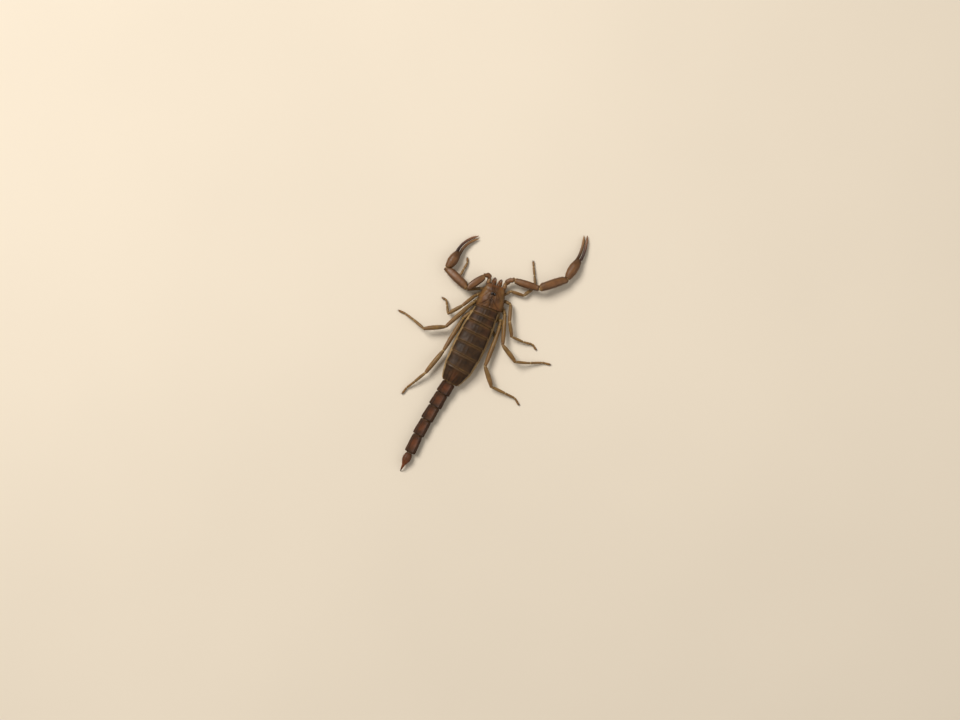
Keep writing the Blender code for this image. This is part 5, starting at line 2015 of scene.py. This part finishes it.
@dataclass
class Abdomen:
    """The trunk: its soft skin, the seven back plates and the five belly plates."""

    forward: Array  # the way that the head points
    step: float = 0.08
    back: float = 0.24  # thickness of a plate of the back
    belly: float = 0.16  # thickness of a plate of the belly
    overlap: float = 0.2  # of each plate over the next one
    rim: float = 0.1  # rounding of a plate's edges
    below_back: float = 0.42  # how deep the skin runs under the plates of the back
    below_belly: float = 0.26  # how deep it runs under those of the belly

    def __post_init__(self) -> None:
        """Reads the trunk's middle line, its outline and each plate's reach."""
        names = [f"tergite_{n}" for n in range(1, 8)]
        body = solid("trunk", "sternites", *names)
        self.line = self.spine(body, names)
        smooth = {"spread": 0.3, "soft": 4.5, "bridge": 0.45}
        self.field = read_field(self.line, body, 0.15, 144, 0.12, outside=FAR, **smooth)
        self.spans: dict[str, Triple] = {}
        for name in [*names, "sternites"]:
            station, angle = self.line.nearest(solid(name).points)
            if name == "sternites":
                angle = turn(angle + np.pi)
            reach = float(np.quantile(np.abs(angle), 0.99))
            self.spans[name] = (float(station.min()), float(station.max()), reach)

    def spine(self, body: Solid, names: list[str]) -> Line:
        """The trunk's middle line, from under the carapace to the tail, through the back plates' middles."""
        path = np.array([solid(name).middle for name in names])
        path[:, 2] = np.mean(faces_over(body, path), axis=0)
        path[:2, 2] = path[2, 2]
        rear = path[-1] - path[-2]
        ends = path[0] + np.outer((0.78, 0.3), self.forward), path[-1] + 0.65 * rear * (1, 1, 0.5)
        return Line.through(np.array([*ends[0], *path[1:], ends[1]]), 0.15, 0.5)

    def sheet(self, start: float, end: float, middle: float, reach: float) -> Grid:
        """Part of the outline as an open grid of points.

        Args:
            start: Its first station.
            end: Its last station.
            middle: The angle of its middle, in radians.
            reach: How far it goes to each side of that, in radians.

        Returns:
            The grid, whose stations start at 0.
        """
        stations = np.linspace(start, end, max(int((end - start) / self.step), 8))
        angles = self.field.even_angles(middle - reach, middle + reach, self.step)
        radii = self.field.at(stations[:, None], angles[None, :])
        points = self.line.rings(stations, angles, radii)
        return Grid(points, stations - start, angles, radii, end - start, False)

    def rounding(self, grid: Grid, middle: float, reach: float) -> tuple[Array, Array]:
        """(heights, distance to the nearest edge) that round off a plate's edges."""
        aside = (reach - np.abs(turn(grid.angles - middle)))[None, :] * grid.radii
        edge = np.minimum(np.minimum(grid.along, grid.length - grid.along), aside)
        inside = 1 - np.clip(edge / self.rim, 0, 1)
        return -self.rim * (1 - np.sqrt(1 - inside**2)), edge

    def back_plate(self, number: int) -> None:
        """A tergite: smooth in front, under the plate before it, then granulate up to a raised rear edge."""
        name = f"tergite_{number}"
        start, end, reach = self.spans[name]
        tucked = 0.4 if number == 1 else 0.02
        grid = self.sheet(start - tucked, end + (self.overlap if number < 7 else 0.12), 0.0, reach)
        heights, edge = self.rounding(grid, 0.0, reach)
        s, share, aside = grid.along, grid.share, np.abs(grid.degrees)
        # the smooth front part lies lower, and a low step parts it from the granulate one
        front = 1 - ease(s, 0.4, 0.56)
        heights = heights - 0.16 * (1 - ease(s, 0.0, 0.55)) - 0.03 * front + 0.07 * ease(share, 0.5, 1.0)
        heights += 0.045 * bell(s - 0.58, 0.11)
        for middle in (15, 36):
            heights -= 0.022 * bell(aside - middle, 6) * bell(share - 0.45, 0.2)
        heights += 0.018 * ripple(grid.points, 0.7, number)
        if number < 7:
            keels = [Keel(0, 0.04, 0.09, 0.04, 0.18, start=0.25, end=0.97, dark=0.5)]
            keels.append(Keel(24, 0.012, 0.12, 0.03, start=0.6, end=0.97, dark=0.2))
        else:
            keels = [Keel(0, 0.05, 0.12, 0.045, 0.18, start=0.2, end=0.6, dark=0.5)]
            keels.append(Keel(20, 0.08, 0.12, 0.052, start=0.4))
            keels.append(Keel(42, 0.08, 0.12, 0.052, start=0.32, end=0.93))
        heights += carve_keels(grid, keels, number)
        grid.raise_by(heights)
        patch = ripple(grid.points, 0.9, 20 + number)
        patchy = np.clip(0.65 + 0.6 * ripple(grid.points, 0.45, 40 + number), 0.1, 1)
        grid.mark(Mark.GRAIN, (1 - front) * (edge > 0.14) * (0.35 + 0.65 * ease(share, 0.3, 0.95)) * patchy)
        border = ease(s, grid.length - 0.4, grid.length - 0.16)
        grid.mark(Mark.PALE, 0.62 * border * (0.75 + 0.4 * patch) + 0.3 * front)
        grid.mark(Mark.DARK, 0.5 * between(share, 0.3, 0.75, 0.12) * (0.6 + 0.6 * patch).clip(0, 1))
        grid.mark(Mark.RUDDY, 0.35 * bell(aside - 50, 14) * (number < 4))
        grid.mark(Mark.RUDDY, 0.95 * bell(share - 0.52, 0.28) * bell(aside, 24) * (number == 7))
        granules = Granules(0.13, 0.015, 0.052, 0.65, seed=50 + number)
        beaded(name, grid.shell(self.back), Finish.DARK_PLATE, granules)

    def belly_plates(self) -> None:
        """The five sternites, each over the next, with a breathing slit on each side of the first four."""
        first, last, reach = self.spans["sternites"]
        parts = []
        for number in range(3, 8):
            start, end, _ = self.spans[f"tergite_{number}"]
            start, end = max(start, first), min(end + (0.18 if number < 7 else 0), last)
            grid = self.sheet(start, end, np.pi, reach)
            heights, _ = self.rounding(grid, np.pi, reach)
            s, share = grid.along, grid.share
            degrees = np.degrees(turn(grid.angles - np.pi))[None, :]
            heights = heights - 0.1 * (1 - ease(s, 0.0, 0.4)) + 0.03 * ease(share, 0.7, 1.0)
            if number < 7:
                across = np.radians(np.abs(degrees) - 27) * grid.radii
                slit = bell((s - 0.6 * grid.length) + 0.35 * across, 0.075) * bell(across, 0.26)
                heights -= 0.09 * slit
                grid.mark(Mark.DARK, 0.95 * slit)
            else:
                keels = [Keel(angle, 0.04, 0.12, 0.03, start=0.3) for angle in (166, 148)]
                heights += carve_keels(grid, keels, 9)
            grid.raise_by(heights + 0.01 * ripple(grid.points, 0.7, number))
            grid.mark(Mark.DARK, 0.35 * (number > 5) + 0.3 * ease(share, 0.9, 1.0))
            parts.append(grid.shell(self.belly))
        mesh = Surface.joined(parts).mesh("sternites")
        piece("sternites", mesh, Finish.LEG, "sternites", slot="membrane")

    def skin(self, sleeves: list[Surface]) -> None:
        """The soft skin: the pleated flanks, what lies under the plates, and all the joints' membranes."""
        stations, girth = cap_stations(self.line.length, 0.1, (0.4, 0.35))
        along = stations[:, None]
        angles = self.field.even_angles(-np.pi, np.pi, 0.1)[:-1]
        radii = self.field.at(along, angles[None, :])
        degrees = np.abs(np.degrees(angles))[None, :]
        # in degrees from the top, where the plates of the back end and where those of the belly start
        spans = [self.spans[f"tergite_{n}"] for n in range(1, 8)]
        middles, sides = [(a + b) / 2 for a, b, _ in spans], [math.degrees(reach) for _, _, reach in spans]
        side = np.interp(along, middles, sides)
        front, _, reach = self.spans["sternites"]
        belly = 180 - math.degrees(reach)
        under_back = ease(degrees, side + 6, side - 3)
        under_belly = ease(degrees, belly - 2, belly + 3) * ease(along, front - 0.4, front)
        radii = radii - self.below_back * under_back - self.below_belly * under_belly
        points = self.line.rings(stations, angles, radii * girth[:, None])
        grid = Grid(points, stations, angles, radii, self.line.length)
        flank = between(degrees, side + 5, belly - 5, 6) * between(along, 0.6, grid.length - 0.5, 0.3)
        # folds across the flank, with finer slanting ones among them
        s = along + 0.12 * ripple(points, 1.1, 31)
        fine = np.sin(2 * np.pi * s / 0.27 + 3 * np.radians(degrees))
        folds = 0.022 * np.sin(2 * np.pi * s / 0.46) + 0.009 * fine
        sunk = -0.1 * bell(degrees - side - 5, 4.5) - 0.06 * bell(degrees - belly + 5, 4)
        grid.raise_by((folds - 0.03) * flank + sunk * flank + 0.02 * ripple(points, 0.35, 32) * flank)
        # painted shade: darker just under the edges of the back plates and in the troughs of the folds
        grid.mark(Mark.DARK, 0.5 * bell(degrees - side - 2, 4) + 0.3 * np.clip(-folds / 0.05, 0, 1) * flank)
        grid.mark(Mark.DARK, 0.35 * ripple(points, 0.8, 33).clip(0, 1) * flank)
        mesh = Surface.joined([grid.tube(), *sleeves]).mesh("soft_skin")
        piece("soft_skin", mesh, Finish.SEGMENT_SKIN, "trunk")

    def build(self) -> None:
        """Builds the plates of the back and the belly."""
        for number in range(1, 8):
            self.back_plate(number)
        self.belly_plates()


# ---------------------------------------------------------------- studio


@dataclass
class Studio:
    """The pale floor, the soft lights and the camera that looks straight down."""

    height: float = 0.212  # of the camera, in metres
    middle: tuple[float, float] = (0.00323, -0.00267)  # where the camera looks, in metres
    turned: float = 24.3  # degrees that the camera is turned round its own view
    floor_colour: Colour = (0.66, 0.59, 0.49)
    sky: Colour = (1.0, 0.93, 0.83)

    def floor(self) -> None:
        """A plain pale floor with a very faint unevenness."""
        count, level = 96, -0.00002
        turns = np.linspace(0, 2 * np.pi, count, endpoint=False)
        radii = (0.05, 0.2, 0.8, 3.0)
        points = [(0, 0, level)] + [(r * math.cos(t), r * math.sin(t), level) for r in radii for t in turns]
        faces = [(0, 1 + n, 1 + (n + 1) % count) for n in range(count)]
        for a in range(1, 1 + count * (len(radii) - 1), count):
            b = a + count
            faces += [(a + n, b + n, b + (n + 1) % count, a + (n + 1) % count) for n in range(count)]
        mesh = bpy.data.meshes.new("floor")
        mesh.from_pydata(points, [], faces)
        shade = Shade("floor")
        darker = tuple(0.94 * c for c in self.floor_colour)
        colour = shade.tint(self.floor_colour, darker, shade.span(shade.noise(9.0, 3.0), 0.3, 0.7))
        mesh.materials.append(shade.done(colour, 0.75, {}))
        made = bpy.data.objects.new("floor", mesh)
        bpy.context.scene.collection.objects.link(made)

    def light(self, name: str, offset: Triple, size: float, power: float, colour: Colour) -> None:
        """One soft lamp.

        Args:
            name: Its name.
            offset: Its place as seen by the camera: right, up the picture, and above the floor, in metres.
            size: Of its square, in metres.
            power: In watts.
            colour: Of its light.
        """
        lamp = bpy.data.lights.new(name, "AREA")
        lamp.size, lamp.energy, lamp.color = size, power, colour
        made = bpy.data.objects.new(name, lamp)
        angle = math.radians(self.turned)
        right, up, high = offset
        across = right * math.cos(angle) - up * math.sin(angle)
        ahead = right * math.sin(angle) + up * math.cos(angle)
        place = Vector((self.middle[0] + across, self.middle[1] + ahead, high))
        made.location = place
        aim = Vector((*self.middle, 0.0)) - place
        made.rotation_euler = aim.to_track_quat("-Z", "Y").to_euler()
        bpy.context.scene.collection.objects.link(made)

    def build(self) -> None:
        """Sets up the floor, the lights, the sky and the camera."""
        self.floor()
        self.light("key", (-0.28, 0.3, 0.55), 0.3, 5.2, (1.0, 0.96, 0.9))
        self.light("fill", (0.45, -0.15, 0.5), 0.6, 1.2, (1.0, 0.98, 0.95))
        world = bpy.data.worlds.new("studio")
        world.use_nodes = True
        sky = world.node_tree.nodes["Background"]
        sky.inputs["Color"].default_value = (*self.sky, 1.0)
        sky.inputs["Strength"].default_value = 0.3
        bpy.context.scene.world = world
        camera = bpy.data.cameras.new("camera")
        camera.lens, camera.sensor_width, camera.clip_start = 35.0, 36.0, 0.01
        made = bpy.data.objects.new("camera", camera)
        made.location = (*self.middle, self.height)
        made.rotation_euler = (0.0, 0.0, math.radians(self.turned))
        bpy.context.scene.collection.objects.link(made)
        bpy.context.scene.camera = made
        bpy.context.scene.view_settings.view_transform = "Standard"


# ---------------------------------------------------------------- the whole animal


def main() -> None:
    """Builds the animal from its middle outwards, then the studio."""
    logging.basicConfig(level=logging.INFO, format="%(message)s")
    low, high = (np.array(corner) for corner in cad_box)
    inset = 1e-6  # metres that the bristles keep inside the solids' box
    limit = (low + inset, high - inset)
    spurs, teeth = Lobes(), Lobes()
    leg_coat = Coat("leg_bristles", 3.4, 0.16, 0.42, 0.032, seed=5)
    palp_coat = Coat("palp_bristles", 2.2, 0.2, 0.6, 0.028, lean=0.6, seed=6)
    tail_coat = Coat("tail_bristles", 0.8, 0.2, 0.55, 0.028, lean=0.6, seed=7)

    head = Head()
    head.carapace()
    sleeves = head.jaws(teeth, palp_coat)
    abdomen = Abdomen(head.axes[1])
    abdomen.build()
    roots, claws = [], []
    for side in Side:
        for number in range(1, 5):
            leg = Leg(number, side)
            claws += leg.build(leg_coat, spurs)
            sleeves += leg.sleeves
            roots.append(leg.femur.root())
            sleeves.append(sleeve(roots[-1].back(0.7, 0.9), leg.femur.collar(0.35, 0.85)))
    palps = []
    for side in Side:
        palp = Pedipalp(side)
        palp.build(palp_coat, teeth)
        sleeves += palp.sleeves
        palps.append(palp.limbs["coxa"].root())
    head.underside(roots, palps)
    head.combs()
    tail = Tail()
    end, way, _, _ = abdomen.line.at(abdomen.line.length - 0.5)
    tail.build(Ring(end[0], way[0], 1.05), tail_coat)
    abdomen.skin(sleeves + tail.sleeves)
    piece("tarsal_claws", Surface.joined(claws).mesh("claws"), Finish.FINGER, slot="leg")
    piece("leg_spurs", spurs.mesh(0.8, Finish.FINGER), Finish.FINGER, slot="leg")
    piece("finger_teeth", teeth.mesh(0.45, Finish.FINGER), Finish.FINGER)
    for coat in (leg_coat, palp_coat, tail_coat):
        coat.build(*limit)
    Studio().build()


if __name__ == "__main__":
    main()
